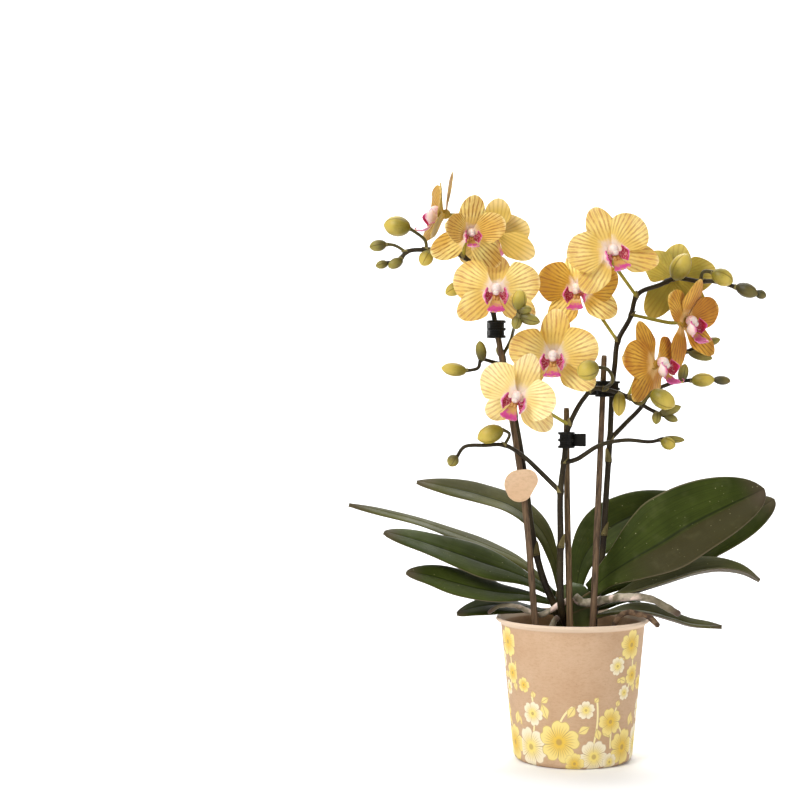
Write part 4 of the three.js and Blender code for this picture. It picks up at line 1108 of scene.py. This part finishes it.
# Each clip: height, how tall it is, which way its grip points (degrees) and its inner radius.
CLIPS = {"left": (269.5, 11, 95, 3.7), "middle": (200, 10, -8, 3.0), "right": (232, 10, 150, 2.9)}
CLIP_WALL = 1.1
CLIP_RIB = 1.0
CLIP_RIB_TALL = 1.6
CLIP_GRIP = 9.0
CLIP_TAB = 1.4
CLIP_TAB_SPREAD = 16
CLIP_TAB_TALL = 0.8  # as a share of the clip's
CLIP_BEVEL = 0.22


def passing(points, height):
    """Where a route passes a height."""
    dense = Route(points).dense
    return dense[np.argmax(dense[:, 2] >= height)][:2]


def loop_outline(ends, radius, steps=12):
    """Points on a long loop round two middles."""
    (ax, ay), (bx, by) = ends
    turns = math.atan2(by - ay, bx - ax) + np.linspace(-math.pi / 2, math.pi / 2, steps)
    out = radius * grid(np.cos(turns), np.sin(turns))
    return [*(out + [bx, by]), *(-out + [ax, ay])]


def add_band(piece, ends, inner, outer, low, high, look):
    """A closed ring of rectangular section round two middles."""
    inside, outside = loop_outline(ends, inner), loop_outline(ends, outer)
    count = len(inside)
    levels = [(outside, low), (outside, high), (inside, high), (inside, low)]
    corners = [[*point, level] for outline, level in levels for point in outline]
    faces = []
    for a, b in ((0, 1), (1, 2), (2, 3), (3, 0)):
        for k in range(count):
            n = (k + 1) % count
            faces.append((a * count + k, a * count + n, b * count + n, b * count + k))
    piece.add(corners, faces, look)


def add_tab(piece, middle, turn, start, tall, height):
    """An upright slab that reaches out from a clip's middle in one direction."""
    cos, sin = math.cos(turn), math.sin(turn)
    end, half = start + CLIP_GRIP, CLIP_TAB / 2
    footprint = [(start, -half), (end, -half), (end, half), (start, half)]
    corners = [[middle[0] + ahead * cos - aside * sin, middle[1] + ahead * sin + aside * cos, z]
               for z in (height - tall / 2, height + tall / 2) for ahead, aside in footprint]
    faces = [(0, 3, 2, 1), (4, 5, 6, 7), (0, 1, 5, 4), (1, 2, 6, 5), (2, 3, 7, 6), (3, 0, 4, 7)]
    piece.add(corners, faces, CLIP_LOOK)


def add_clip(side, height, tall, grip, inside):
    """A ribbed clip with two finger tabs, its corners softly rounded."""
    routes = [STICKS["stick_" + side], SPIKES["spike_" + side].stems[0][0]]
    ends = [passing(points, height) for points in routes]
    low = height - tall / 2
    outer = inside + CLIP_WALL
    piece = Piece(f"clip_{side}_moulding")
    add_band(piece, ends, inside, outer, low, low + tall, CLIP_LOOK)
    for share in (0, 0.5, 1):
        rib = low + share * (tall - CLIP_RIB_TALL)
        bottom, top = rib + 0.01, rib + CLIP_RIB_TALL - 0.01
        add_band(piece, ends, outer - 0.2, outer + CLIP_RIB, bottom, top, CLIP_LOOK)
    for spread in (-CLIP_TAB_SPREAD, CLIP_TAB_SPREAD):
        turn = math.radians(grip + spread)
        add_tab(piece, (ends[0] + ends[1]) / 2, turn, outer - 0.6, tall * CLIP_TAB_TALL, height)
    piece.finish("clip", "clip_" + side, smooth=False, bevel=CLIP_BEVEL)


TAG_HEIGHT = 172
TAG_ASIDE = -0.9
TAG_THICK = 0.8
TAG_BAND = 5.0
TAG_LOOSE = 1.2
TAG_BEVEL = 0.2
# The disc's outline: arcs by middle, radius, and first and last angle.
TAG_ARCS = [((-1.5, 0.5), 9, 100, 215), ((-1, -2), 8.5, 215, 320), ((3.8, 3.2), 6.8, -40, 100)]


def add_tag():
    """The bare card tag, in front of the left stick on a narrow band."""
    outline = [point for turned in TAG_ARCS for point in arc(*turned, 14)]
    x, y = passing(STICKS["stick_left"], TAG_HEIGHT)
    inner = STICK_RADIUS + TAG_LOOSE
    front = y - inner - TAG_THICK
    piece = Piece("tag_disc")
    count = len(outline)
    corners = [[x + TAG_ASIDE + u, front + depth, TAG_HEIGHT + v]
               for depth in (0, TAG_THICK) for u, v in outline]
    faces = [tuple(range(count)), tuple(range(2 * count - 1, count - 1, -1))]
    faces += [(k, (k + 1) % count, count + (k + 1) % count, count + k) for k in range(count)]
    piece.add(corners, faces, TAG_LOOK)
    low = TAG_HEIGHT - TAG_BAND / 2
    add_band(piece, [(x, y), (x + 0.001, y)], inner, inner + TAG_THICK, low, low + TAG_BAND, TAG_LOOK)
    piece.finish("tag_card", "tag", smooth=False, bevel=TAG_BEVEL)


# ---------------------------------------------------------------- flower spikes

# Each spike: stems as (route, radii at root and tip), buds as (from, to, radius, look), and the
# shares of the main stem that carry bare sheaths.
Spike = namedtuple("Spike", "stems buds sheaths")
SPIKES = {
    "spike_left": Spike([
        ([(-8.6, -1.4, 84), (-12, -4, 96), (-17, -5, 108), (-21, -4, 120), (-26, -3, 143), (-30, -2, 175),
          (-36, -1, 212), (-43, 1, 247), (-47.4, 1.4, 266), (-51, 1, 285), (-58, -2, 303), (-69, -4, 315),
          (-80, -5, 318), (-92, -6, 319), (-104, -6, 318), (-110, -5, 312), (-117, -4, 311)], (2.3, 1.3)),
        ([(-43, 1, 247), (-50, 1, 249), (-58, -6, 250), (-60, -9, 245), (-69, -10, 243)], (1.3, 1)),
        ([(-44, 1, 253), (-39.5, -4, 262), (-38, -20, 270), (-37, -38, 271), (-37, -41, 280)], (1.1, 1)),
        ([(-58, -2, 303), (-64, 2, 300), (-70, 3, 297)], (1, 1)),
        ([(-92, -6, 318), (-93, -5, 325), (-103, -4, 333)], (1.1, 1)),
        ([(-104, -6, 317), (-112, -4, 322), (-119, -3, 323)], (1, 1)),
    ], [
        ((-102, -4, 333), (-119, -4, 335), 6.6, "ripe"), ((-117, -3, 323), (-128, -3, 321), 3.8, "young"),
        ((-90, -7, 318), (-95, -10, 309), 4.6, "ripe"), ((-107, -6, 313), (-116, -9, 308), 3.4, "young"),
        ((-116, -4, 311), (-124, -4, 309), 2.8, "young"), ((-67, -10, 243), (-83, -12, 245), 4.3, "ripe"),
        ((-57, -6, 249), (-59, -8, 262), 3.5, "young"), ((-37, -39, 279), (-36, -42, 292), 4.6, "ripe"),
        ((-38, -39, 279), (-29, -42, 280), 3, "young"), ((-37, -37, 276), (-39, -42, 268), 3.4, "young"),
        ((-37, -38, 276), (-24, -42, 272), 3.6, "young"), ((-69, 3, 298), (-80, 2, 292), 4.3, "ripe"),
        ((-43.5, 2.5, 251), (-47, 7, 259), 2.4, "young"),
    ], [0.16, 0.3, 0.46]),
    "spike_middle": Spike([
        ([(-3.5, -4.2, 82), (-7, -11, 90), (-9, -15, 100), (-9, -15, 138), (-9, -14, 168),
          (-6.5, -11.5, 187), (-4, -9, 206), (0, -9, 216), (6, -10, 226), (12, -11, 232),
          (22, -12, 231), (35, -13, 226), (47, -14, 219), (56, -14, 215)], (2.4, 1.2)),
        ([(-9, -14, 168), (-15, -11, 174), (-22, -9, 181), (-32, -14, 190), (-44, -18, 197),
          (-56, -19, 197), (-69, -20, 196), (-74, -20, 189)], (1.6, 1.1)),
        ([(-7, -12, 186), (1, -12, 188), (16, -12, 197), (32, -11, 200), (48, -10, 199),
          (56, -10, 201)], (1.6, 1.1)),
        ([(-44, -18, 197), (-41, -19, 204), (-46, -21, 207)], (1, 1)),
        ([(18, -12, 231.5), (22, -26, 237), (17, -36, 244), (10, -38, 245)], (1.1, 1.1)),
        ([(34, -13, 226.5), (39, -24, 222.5), (46, -29, 230)], (1, 1)),
    ], [
        ((-45, -21, 207), (-61, -23, 201), 5.8, "ripe"), ((-74, -20, 191), (-78, -20, 184), 3.8, "young"),
        ((54, -10, 200), (63, -11, 196), 4.2, "ripe"), ((55, -10, 201), (69, -10, 200), 2.4, "young"),
        ((11, -38, 246), (-1, -44, 240), 6.4, "ripe"), ((28, -12.5, 230), (27, -17, 215), 4.2, "ripe"),
        ((45, -28, 230), (59, -32, 221), 6, "ripe"), ((51, -14, 218), (50, -17, 210), 3, "young"),
        ((52, -14, 216), (66, -14, 221), 3.2, "young"), ((55, -14, 216), (64, -14, 212), 2.6, "young"),
    ], [0.27]),
    "spike_right": Spike([
        ([(13.8, 4, 82), (15, 5, 96), (18, 6, 109), (20, 6, 136), (22, 5, 168), (24, 4, 200),
          (25.4, 2.7, 233), (27, 3, 247), (29, 4, 262), (37, 5, 277), (42, 6, 292), (56, 5, 298),
          (66, 5, 302), (81, 4, 300), (89, 3, 300), (104, 1, 296), (117, 0, 292)], (2.2, 1.3)),
        ([(24, 4, 200), (34, 6, 210), (44, 8, 220), (50, 9, 229), (62, 10, 235), (70, 9, 237),
          (92, 7, 238)], (1.6, 1.1)),
        ([(81, 4, 300), (83, 2, 306), (91, 1, 305)], (1.1, 1.1)),
        ([(50, 9, 229), (60, 14, 243), (72, 18, 254), (88, 20, 262)], (1.3, 1.1)),
    ], [
        ((65, 4.5, 300.8), (72, -1, 317), 6.6, "ripe"), ((88, 1, 305.5), (101, 0, 299), 5.6, "ripe"),
        ((103, 1, 297), (116, -3, 291), 4.6, "dark"), ((115, 0, 293), (122, 0, 290), 3, "dark"),
        ((76, 8.5, 237.3), (91, 7, 238), 4.6, "ripe"), ((90, 7, 238), (101, 7, 237), 3, "dark"),
        ((70, 9, 236.5), (72, 6, 248), 3.4, "young"), ((86, 20, 261), (97, 20, 264), 2.8, "young"),
        ((76, 18.7, 255.5), (92, 20, 251.5), 3.2, "young"),
    ], [0.2, 0.36]),
}
BRANCH_REACH = 3.5  # a branch, bud or pedicel that starts this near a stem makes a joint on it
PEDICEL_RADII = (1.05, 1.3)
TWIG_RADIUS = 1.15  # stems up to this radius have the twig's look
STEM_STEP = 1.1
PEDICEL_STEP = 0.9
STEM_SIDES = 14
JOINT_SWELL = 0.24
JOINT_LENGTH = 1.6
SHEATH_LENGTH = 9.0
SCALE_HALF_TURN = 1.9  # radians
SCALE_THICK = 0.35
BUD_STEPS = 18
BUD_SIDES = 24
# A bud's girth: shares of its length, and of its radius there.
BUD_SHARES = [0, 0.05, 0.12, 0.25, 0.42, 0.6, 0.78, 0.9, 0.97, 1]
BUD_GIRTHS = [0.1, 0.42, 0.64, 0.86, 1.0, 0.97, 0.8, 0.52, 0.27, 0.06]


def add_scale(piece, route, share, stem_radius, towards, length):
    """A small pointed scale that clasps a stem at a node, on the side that faces towards."""
    base, ahead = route.at(share), route.heading(share)
    side = np.array(towards, float) - base
    side = unit(side - ahead * side.dot(ahead) + 1e-6)
    other = np.cross(ahead, side)
    along = np.linspace(0, 1, 8)[:, None]
    across = np.linspace(-1, 1, 9)
    angle = across * SCALE_HALF_TURN * (1 - along) ** 0.7
    radius = stem_radius + 0.15 + 0.5 * along**1.5
    rise = (along * length - 0.8)[..., None] * ahead
    skins = []
    for skin in (SCALE_THICK, 0.0):
        reach = radius + skin * (1 - 0.6 * along)
        out = (np.cos(angle) * reach)[..., None] * side + (np.sin(angle) * reach)[..., None] * other
        skins.append(base + out + rise)
    piece.sheet(*skins, SCALE_LOOK, SCALE_LOOK, grid(across, along))


def add_stem(piece, route, radii, joints, look, step=STEM_STEP):
    """A stem that swells a little at its joints, given as shares of its length."""
    spread = JOINT_LENGTH / route.length

    def radius(share):
        swelling = sum(JOINT_SWELL * math.exp(-(((share - joint) / spread) ** 2)) for joint in joints)
        return between(radii, share) * (1 + min(0.3, swelling))

    piece.rings(look, *tube_rings(route, radius, step, STEM_SIDES))


def add_bud(piece, start, end, radius, look):
    """A bud: a plump egg of three clasping sepals, a little flattened at its seams."""
    route = Route([start, end])
    turn = random.Random(f"{start}").uniform(0, 2)

    def girth(share):
        return radius * float(np.interp(share, BUD_SHARES, BUD_GIRTHS))

    def swell(share, angles):
        seam = np.abs(np.sin(1.5 * (angles + turn)))
        return 1 - 0.07 * (1 - seam) ** 3 * math.sin(math.pi * min(1, share + 0.15))

    rings, form = tube_rings(route, girth, route.length / BUD_STEPS, BUD_SIDES, swell)
    piece.rings(look, rings, form + [turn / (2 * math.pi), 0])


def add_spike(name, spike):
    """A spike: jointed stems with scales, pedicels that run into the blooms, and buds."""
    piece = Piece(name + "_stems")
    routes = [Route(points) for points, _ in spike.stems]
    grown = [bloom for bloom in BLOOMS.values() if bloom.spike == name]
    offshoots = [(route.at(0), route.at(0.3)) for route in routes[1:]]
    offshoots += [(start, end) for start, end, *_ in spike.buds]
    offshoots += [(bloom.start, bloom.at) for bloom in grown]
    for order, (route, (_, radii)) in enumerate(zip(routes, spike.stems)):
        joints = []
        for start, end in offshoots:
            share, off = route.nearest(start)
            if off < BRANCH_REACH and 0.02 < share < 0.97:
                joints.append(share)
                here = between(radii, share)
                add_scale(piece, route, share, here, end, 2.2 + 1.4 * here)
        bare = [] if order else spike.sheaths
        look = SPIKE_LOOK if max(radii) > TWIG_RADIUS else TWIG_LOOK
        add_stem(piece, route, radii, joints + bare, look)
        for count, share in enumerate(bare):
            side = route.at(share) + [(-1) ** count, -0.8, 0]
            add_scale(piece, route, share, between(radii, share), side, SHEATH_LENGTH)
    for start, end, radius, age in spike.buds:
        add_bud(piece, start, end, radius, BUD_LOOKS[age])
    for bloom in grown:
        facing = bloom_axes(bloom)[2]
        back = [np.array(bloom.at) - facing * distance for distance in (9, HUB_RADIUS + HUB_SET_BACK)]
        add_stem(piece, Route([bloom.start, *back]), PEDICEL_RADII, [0.02], PEDICEL_LOOK, PEDICEL_STEP)
    piece.finish("spike", name)


# ---------------------------------------------------------------- blooms and lips

HUB_RADIUS = 3.2
HUB_SET_BACK = 0.8
HUB_STEPS = 14
HUB_SIDES = 24
TEPAL_ROWS = 26
TEPAL_COLUMNS = 21
TEPAL_THICK = 0.8
TEPAL_START = 1.8
CREASE_DEEP = 0.35
LOBE_ROWS = 18
LOBE_COLUMNS = 13
LOBE_THICK = 0.9
LOBE_FRILL = 0.35
ROUND_STEPS = 13
ROUND_SIDES = 20
TENDRIL_STEP = 0.4
TENDRIL_SIDES = 8
TENDRIL_RADII = (0.42, 0.16)

# Each bloom: its middle, the way it faces (turn, tilt and roll, degrees), its size, the breadth of
# its lip and of its petals, the tones of its sepals and its petals, the direction and forward lean
# of its upper, left and right sepal and its right and left petal, and the spike and point that its
# pedicel leaves.
Bloom = namedtuple("Bloom", "at turn tilt roll size lip petal tones tepals spike start")
BLOOMS = {
    "01": Bloom((-66, -20, 327), 10, 4, 0, 0.9, 0.72, 0.8, ("striped", "striped"),
                [(90, 40), (208, 0), (315, 4), (16, 38), (168, 44)], "spike_left", (-69, -4, 315)),
    "02": Bloom((-80.5, 7, 343), -84, 9, -2, 0.92, 1, 1, ("amber_shaded", "golden"),
                [(90, 3), (218, 22), (322, 22), (30, 18), (150, 18)], "spike_left", (-80, -5, 318)),
    "03": Bloom((-47, 15, 331), 172, -15, 0, 0.97, 0.75, 1, ("light", "light"),
                [(90, 20), (213, 5), (322, 5), (40, 36), (140, 36)], "spike_left", (-55, -1, 297)),
    "04": Bloom((-49.5, -24, 293), -4, -5, 0, 1, 1, 1, ("bright", "bright"),
                [(90, -40), (216, 22), (322, 12), (14, 2), (160, 2)], "spike_left", (-50, 0, 281)),
    "05": Bloom((22, -20, 316), 5, 5, 21, 1.03, 1, 1, ("bright", "bright"),
                [(90, 2), (212, 2), (330, 2), (28, 6), (160, 6)], "spike_right", (41.6, 6, 290)),
    "06": Bloom((5, 8, 295), -20, 0, 0, 1, 1, 1, ("lit", "golden"),
                [(90, 2), (232, 10), (326, 10), (20, 12), (160, 12)], "spike_right", (29, 4, 262)),
    "07": Bloom((-14, -23, 251), -10, 5, 0, 1.04, 1, 1, ("bright", "bright"),
                [(87, 2), (206, 2), (324, 2), (18, 8), (162, 8)], "spike_middle", (10, -10.7, 230.4)),
    "08": Bloom((-37, -35, 227), -12, -4, -20, 0.96, 1, 1, ("pale", "pale"),
                [(93, -14), (230, -24), (334, 0), (12, 24), (160, 6)], "spike_middle", (-4, -9, 210)),
    "09": Bloom((67, 21, 303), 165, 10, 0, 1, 0.8, 0.85, ("olive", "olive"),
                [(96, 50), (232, 4), (304, 4), (36, 38), (172, 10)], "spike_right", (60, 5, 300)),
    "10": Bloom((70, 2, 274), 50, 0, 14, 1, 1, 0.8, ("orange_shaded", "orange_shaded"),
                [(76, 30), (248, 0), (301, 27), (14, 30), (128, 10)], "spike_right", (38, 5, 279)),
    "11": Bloom((50, -13, 247), 46, 5, 12, 0.98, 1, 1, ("orange_shaded", "orange_shaded"),
                [(94, -4), (218, -6), (300, -20), (10, -2), (156, -8)], "spike_middle", (33, -13, 227)),
}
# The two kinds of tepal: length and half-width, how narrow the root is, where the belly is, how
# blunt the tip is, how far the middle is lifted, the cup across, the drop of the tip, how the veins
# fan out, how many there are, and how high the ripples are.
Tepal = namedtuple("Tepal", "length half_width root belly power lift cup drop fan veins ripple")
SEPAL = Tepal(29.5, 10.4, 0.25, 0.5, 2.6, -0.9, -0.06, 0.05, 0.18, 2.4, 0.35)
PETAL = Tepal(27.5, 14.2, 0.2, 0.55, 3.2, 0.8, 0.05, 0.08, 0.55, 5.2, 0.7)
TEPALS = [SEPAL, SEPAL, SEPAL, PETAL, PETAL]


def bloom_axes(bloom):
    """A bloom's own right, up and facing directions, from its turn, tilt and roll."""
    a, b, c = (math.radians(angle) for angle in (bloom.turn, bloom.tilt, bloom.roll))
    facing = np.array([math.sin(a) * math.cos(b), -math.cos(a) * math.cos(b), math.sin(b)])
    level = np.array([math.cos(a), math.sin(a), 0])
    rising = np.cross(facing, level)
    right = level * math.cos(c) + rising * math.sin(c)
    up = rising * math.cos(c) - level * math.sin(c)
    return right, up, facing


def placed(points, bloom):
    """Points in a bloom's own frame, moved to where the bloom is."""
    return np.array(bloom.at) + points @ np.array(bloom_axes(bloom))


def add_tepal(piece, bloom, form, direction, lean, draw, looks):
    """A petal or sepal: thin at its rim, creased along its middle, gently waved and cupped."""
    along = closing(TEPAL_ROWS, 1.7)
    across = np.sin(np.linspace(-1, 1, TEPAL_COLUMNS) * math.pi / 2)
    claw = form.root + (1 - form.root) * smooth(along / form.belly)
    outline = claw * np.sqrt(np.maximum(0, 1 - along**form.power))
    wobble = 1 + 0.025 * np.sin(5 * along + draw.uniform(0, 6))
    wobble = wobble + 0.02 * np.sin(11 * along + draw.uniform(0, 6))
    width = form.half_width * outline * across * wobble
    reach = TEPAL_START + (form.length - TEPAL_START) * along
    cupped = form.cup * width**2 / form.half_width - form.drop * form.length * along**3
    ripple = form.ripple * across**2 * along * np.sin(6 * along + 1.5 * across + draw.uniform(0, 6))
    ruffle = 0.22 * form.ripple * across**6 * along * np.sin(23 * along + 2 * across)
    crease = -CREASE_DEEP * np.exp(-((across / 0.1) ** 2)) * (1 - along)
    thick = TEPAL_THICK * (0.35 + 0.65 * np.sqrt(1 - 0.96 * across**2)) * (1 - 0.35 * along)
    lean, turn = math.radians(lean), math.radians(direction)
    y = width * bloom.size * (bloom.petal if form is PETAL else 1)
    faces = []
    for side in (1, -1):
        height = form.lift + cupped + ripple + ruffle + crease + side * thick / 2
        x = (reach * math.cos(lean) - height * math.sin(lean)) * bloom.size
        z = reach * math.sin(lean) + height * math.cos(lean)
        flat = grid(x * math.cos(turn) - y * math.sin(turn), x * math.sin(turn) + y * math.cos(turn), z)
        faces.append(placed(flat, bloom))
    fan = width / form.length / (0.1 + form.fan * reach / form.length) * form.veins
    piece.sheet(*faces, *looks, grid(fan, along))


def add_bloom(name, bloom):
    """A bloom: three sepals behind, two broad petals in front, and the hub they grow from."""
    draw = random.Random(name)
    piece = Piece(f"bloom_{name}_tepals")
    sepal_looks, petal_looks = (TEPAL_LOOKS[tone] for tone in bloom.tones)
    for form, (direction, lean) in zip(TEPALS, bloom.tepals):
        looks = petal_looks if form is PETAL else sepal_looks
        add_tepal(piece, bloom, form, direction, lean, draw, looks)
    rings, form = lathe(ball_profile(HUB_STEPS, ON_AXIS / HUB_RADIUS), HUB_SIDES)
    piece.rings(sepal_looks[1], placed(rings * HUB_RADIUS - [0, 0, HUB_SET_BACK], bloom), form * 0)
    piece.finish("bloom", f"bloom_{name}")


# The lip's lobes in the bloom's own frame: middle line, half-width at the broadest, the share of
# the way where that is, which way the inner face looks, and how far the edges curl. The side lobe
# and the tendril are those on the right.
TONGUE = ([(0, -0.6, 5), (0, -6, 6), (0, -10.6, 8.6), (0, -13, 12), (0, -13.2, 16)],
          5.6, 0.75, (0, 0.7, 0.7), 0.12)
SIDE_LOBE = ([(1.2, -1.6, 4.6), (5.6, -3.4, 5.8), (7.8, -3.6, 9), (7, -3.6, 13)],
             5.4, 0.62, (-0.96, 0, 0.2), 0.5)
TENDRIL = [(0.8, -13.1, 15.2), (2.1, -13, 16.6), (3, -12, 16.8), (2.7, -11, 16)]


def on_lip(points, bloom):
    """Points of a bloom's lip, narrowed to that lip's own breadth and moved to the bloom."""
    return placed(points * [bloom.lip, bloom.lip, 1.0], bloom)


def add_lobe(piece, bloom, lobe, looks, side=1):
    """One waxy lobe of a lip, with its edges curled up. side is -1 for the left one."""
    line, half_width, broadest, face, curl = lobe
    along = closing(LOBE_ROWS, 1.5)
    across = np.linspace(-1, 1, LOBE_COLUMNS)
    opening, closed = 0.1 + 0.9 * (along / broadest) ** 2.2, (1 - along) / (1 - broadest)
    share = np.where(along < broadest, opening, closed)
    reach = half_width * np.sqrt(share) * across
    frill = LOBE_FRILL * np.sin(9 * math.pi * along) * np.abs(across) ** 3
    rise = curl * reach * across + frill * (along * (1 - along) * 4)
    thick = LOBE_THICK * (0.4 + 0.6 * np.sqrt(1 - 0.95 * across**2))
    mirror = np.array([side, 1, 1])
    blade(piece, line * mirror, along, across, face * mirror, reach, [rise + thick / 2, rise - thick / 2],
          looks, lambda points: on_lip(points, bloom))


def add_round(piece, bloom, centre, radii, look, tilt=0.0):
    """An egg-shaped swelling in the bloom's own frame, tilted about the bloom's right."""
    rings, form = lathe(ball_profile(ROUND_STEPS, 0.003), ROUND_SIDES)
    x, y, z = np.moveaxis(rings * radii, -1, 0)
    cos, sin = math.cos(math.radians(tilt)), math.sin(math.radians(tilt))
    points = grid(x, y * cos - z * sin, y * sin + z * cos) + centre
    piece.rings(look, on_lip(points, bloom), form)


def add_lip(name, bloom):
    """A lip: tongue, raised side lobes, callus, two short tendrils, and the pale column."""
    piece = Piece(f"lip_{name}_lobes")
    add_lobe(piece, bloom, TONGUE, (TONGUE_LOOK, TONGUE_UNDER_LOOK))
    for side in (1, -1):
        add_lobe(piece, bloom, SIDE_LOBE, (LOBE_LOOK, LOBE_BACK_LOOK), side)
    add_round(piece, bloom, (0, 0.6, 6.2), (3.3, 3.6, 3.8), COLUMN_LOOK, 8)
    add_round(piece, bloom, (0, -1.6, 9.0), (2.1, 1.9, 1.4), COLUMN_LOOK, 30)
    for side in (-1, 1):
        add_round(piece, bloom, (side * 1.0, -5.0, 6.6), (1.1, 1.6, 1.0), CALLUS_LOOK)
        route = Route(TENDRIL * np.array([side, 1, 1]))
        rings, form = tube_rings(route, lambda share: between(TENDRIL_RADII, share), TENDRIL_STEP,
                                 TENDRIL_SIDES)
        piece.rings(TONGUE_LOOK, on_lip(rings, bloom), form)
    piece.finish("lip", f"lip_{name}")


# ---------------------------------------------------------------- putting it together

CARD_LOOK = cover_pot_look()
TAG_LOOK = tag_look()
CLEAR_LOOK = clear_plastic_look()
BARK_LOOK = bark_look()
LEAF_LOOKS = {
    # The last number is how far a leaf's downward half turns grey-brown: painted shade with a brownish
    # flush.
    "deep": leaf_look("leaf_deep", "#2F3812", "#434D1D", 0.0),
    "flushed_shaded": leaf_look("leaf_flushed_shaded", "#2F3812", "#434D1D", 0.85),
    "olive": leaf_look("leaf_olive", "#43441F", "#5A5A2E", 0.3),
}
LEAF_UNDER_LOOK = leaf_under_look()
CROWN_LOOK = crown_look()
ROOT_LOOK = root_look()
DRY_ROOT_LOOK = dry_root_look()
STICK_LOOK = stick_look("stick", "#46372A", "#765F48")
STICK_PALE_LOOK = stick_look("stick_pale", "#4C3C2A", "#826A4C")
CLIP_LOOK = clip_look()
SPIKE_LOOK = stem_look("spike", "#241B12", "#3C3420", "#5C5234")
TWIG_LOOK = stem_look("twig", "#3A331A", "#5C5226", "#746836")
PEDICEL_LOOK = stem_look("pedicel", "#857A2B", "#A89B40", "#C0B45C", 0.5)
SCALE_LOOK = stem_look("scale", "#5E5330", "#8A7D4E", "#A0936A", 0.6)
BUD_LOOKS = {
    "ripe": bud_look("bud_ripe", "#7D711F", "#C6AE4C", "#6E5A1C"),
    "young": bud_look("bud_young", "#5A5226", "#92853A", "#4A3C1C"),
    "dark": bud_look("bud_dark", "#3E3A1E", "#6C602E", "#33280F"),
}
LOBE_LOOK = waxy_look("lip_lobe", "#C85468", "#B0223F", 0.1, 0.5, "#D4488A", "#F0B8B4")
LOBE_BACK_LOOK = waxy_look("lip_lobe_back", "#F3E2CF", "#F1D6CE", rim="#D65A98")
TONGUE_LOOK = waxy_look("lip_tongue", "#D0A450", "#D04A90", 0.42, 0.62, scale=520.0)
TONGUE_UNDER_LOOK = waxy_look("lip_tongue_under", "#DEC48C", "#D37CAA", 0.35, 0.75)
CALLUS_LOOK = waxy_look("lip_callus", "#C98A56", "#CF9E52")
COLUMN_LOOK = waxy_look("column", "#E2BDBA", "#EDDCD0", 0.3, 0.8, None, "#C77F9C", 520.0)
# Each tone of the blooms: the inner face's heart, deep, bright, edge and two vein colours, how
# strong its veins are, and the outer face's green, gold and pale.
PINKISH, WARM = "#F3DFD0", "#E9C27C"
# Painted light and shade: the lit tone is a brighter copy for parts in full light, and the golden, amber
# and orange tones are darker copies, painted shade for blooms in shadow.
TEPAL_TONES = {
    "bright": ((PINKISH, "#E6C262", "#F9E394", "#F9E4A6", "#B8784A", "#B58238", 0.7),
               ("#CDB552", "#EFD06A", "#F9E298")),
    "pale": ((PINKISH, "#F0D284", "#FDEEB0", "#FCECBA", "#C28E62", "#C39C52", 0.62),
             ("#D8C060", "#F5DA80", "#FCEBAE")),
    "striped": ((PINKISH, "#D8AE50", "#FDEE9A", "#FAEAAC", "#A87034", "#96641F", 0.85),
                ("#C5A945", "#E6C25E", "#F2D68A")),
    "lit": ((PINKISH, "#EFC862", "#FFF0A0", "#FBEAB0", "#B57A40", "#A87A2C", 0.8),
            ("#C8AE4A", "#EACA66", "#F4DA90")),
    "golden": ((PINKISH, "#BF8E2A", "#D8AE48", "#E6C56A", "#9C6830", "#94661F", 0.85),
               ("#B9A03C", "#DDB34A", "#EFCF78")),
    "amber_shaded": ((PINKISH, "#9C742A", "#C09A48", "#CFB064", "#8A5E30", "#825A22", 0.7),
              ("#B09438", "#CFA848", "#E0C06C")),
    "light": ((PINKISH, "#D4AC52", "#E4C676", "#EED490", "#B98656", "#B48A3C", 0.6),
              ("#C8A64A", "#DCBB60", "#EFD696")),
    "olive": ((PINKISH, "#C9952F", "#DEB147", "#E3BD5C", "#A56A30", "#9A6A22", 0.8),
              ("#8A7E2C", "#AE9A3A", "#D2BC60")),
    "orange_shaded": ((WARM, "#C08022", "#E6B444", "#F4D47A", "#9C5A1E", "#92501A", 0.75),
               ("#A8822A", "#CC9C38", "#E2BE62")),
}
TEPAL_LOOKS = {
    tone: (tepal_look(f"tepal_{tone}", *inner), tepal_back_look(f"tepal_{tone}_back", *outer))
    for tone, (inner, outer) in TEPAL_TONES.items()
}

set_camera()
set_light()
set_floor()
add_cover_pot()
add_grow_pot()
add_bark()
add_crown()
for leaf_name, leaf_shape in LEAVES.items():
    add_leaf(leaf_name, leaf_shape)
for root_name, root_shape in ROOTS.items():
    add_root(root_name, *root_shape)
for stick_name, stick_points in STICKS.items():
    add_stick(stick_name, stick_points)
for clip_side, clip_shape in CLIPS.items():
    add_clip(clip_side, *clip_shape)
add_tag()
for spike_name, spike_shape in SPIKES.items():
    add_spike(spike_name, spike_shape)
for bloom_name, bloom_shape in BLOOMS.items():
    add_bloom(bloom_name, bloom_shape)
    add_lip(bloom_name, bloom_shape)
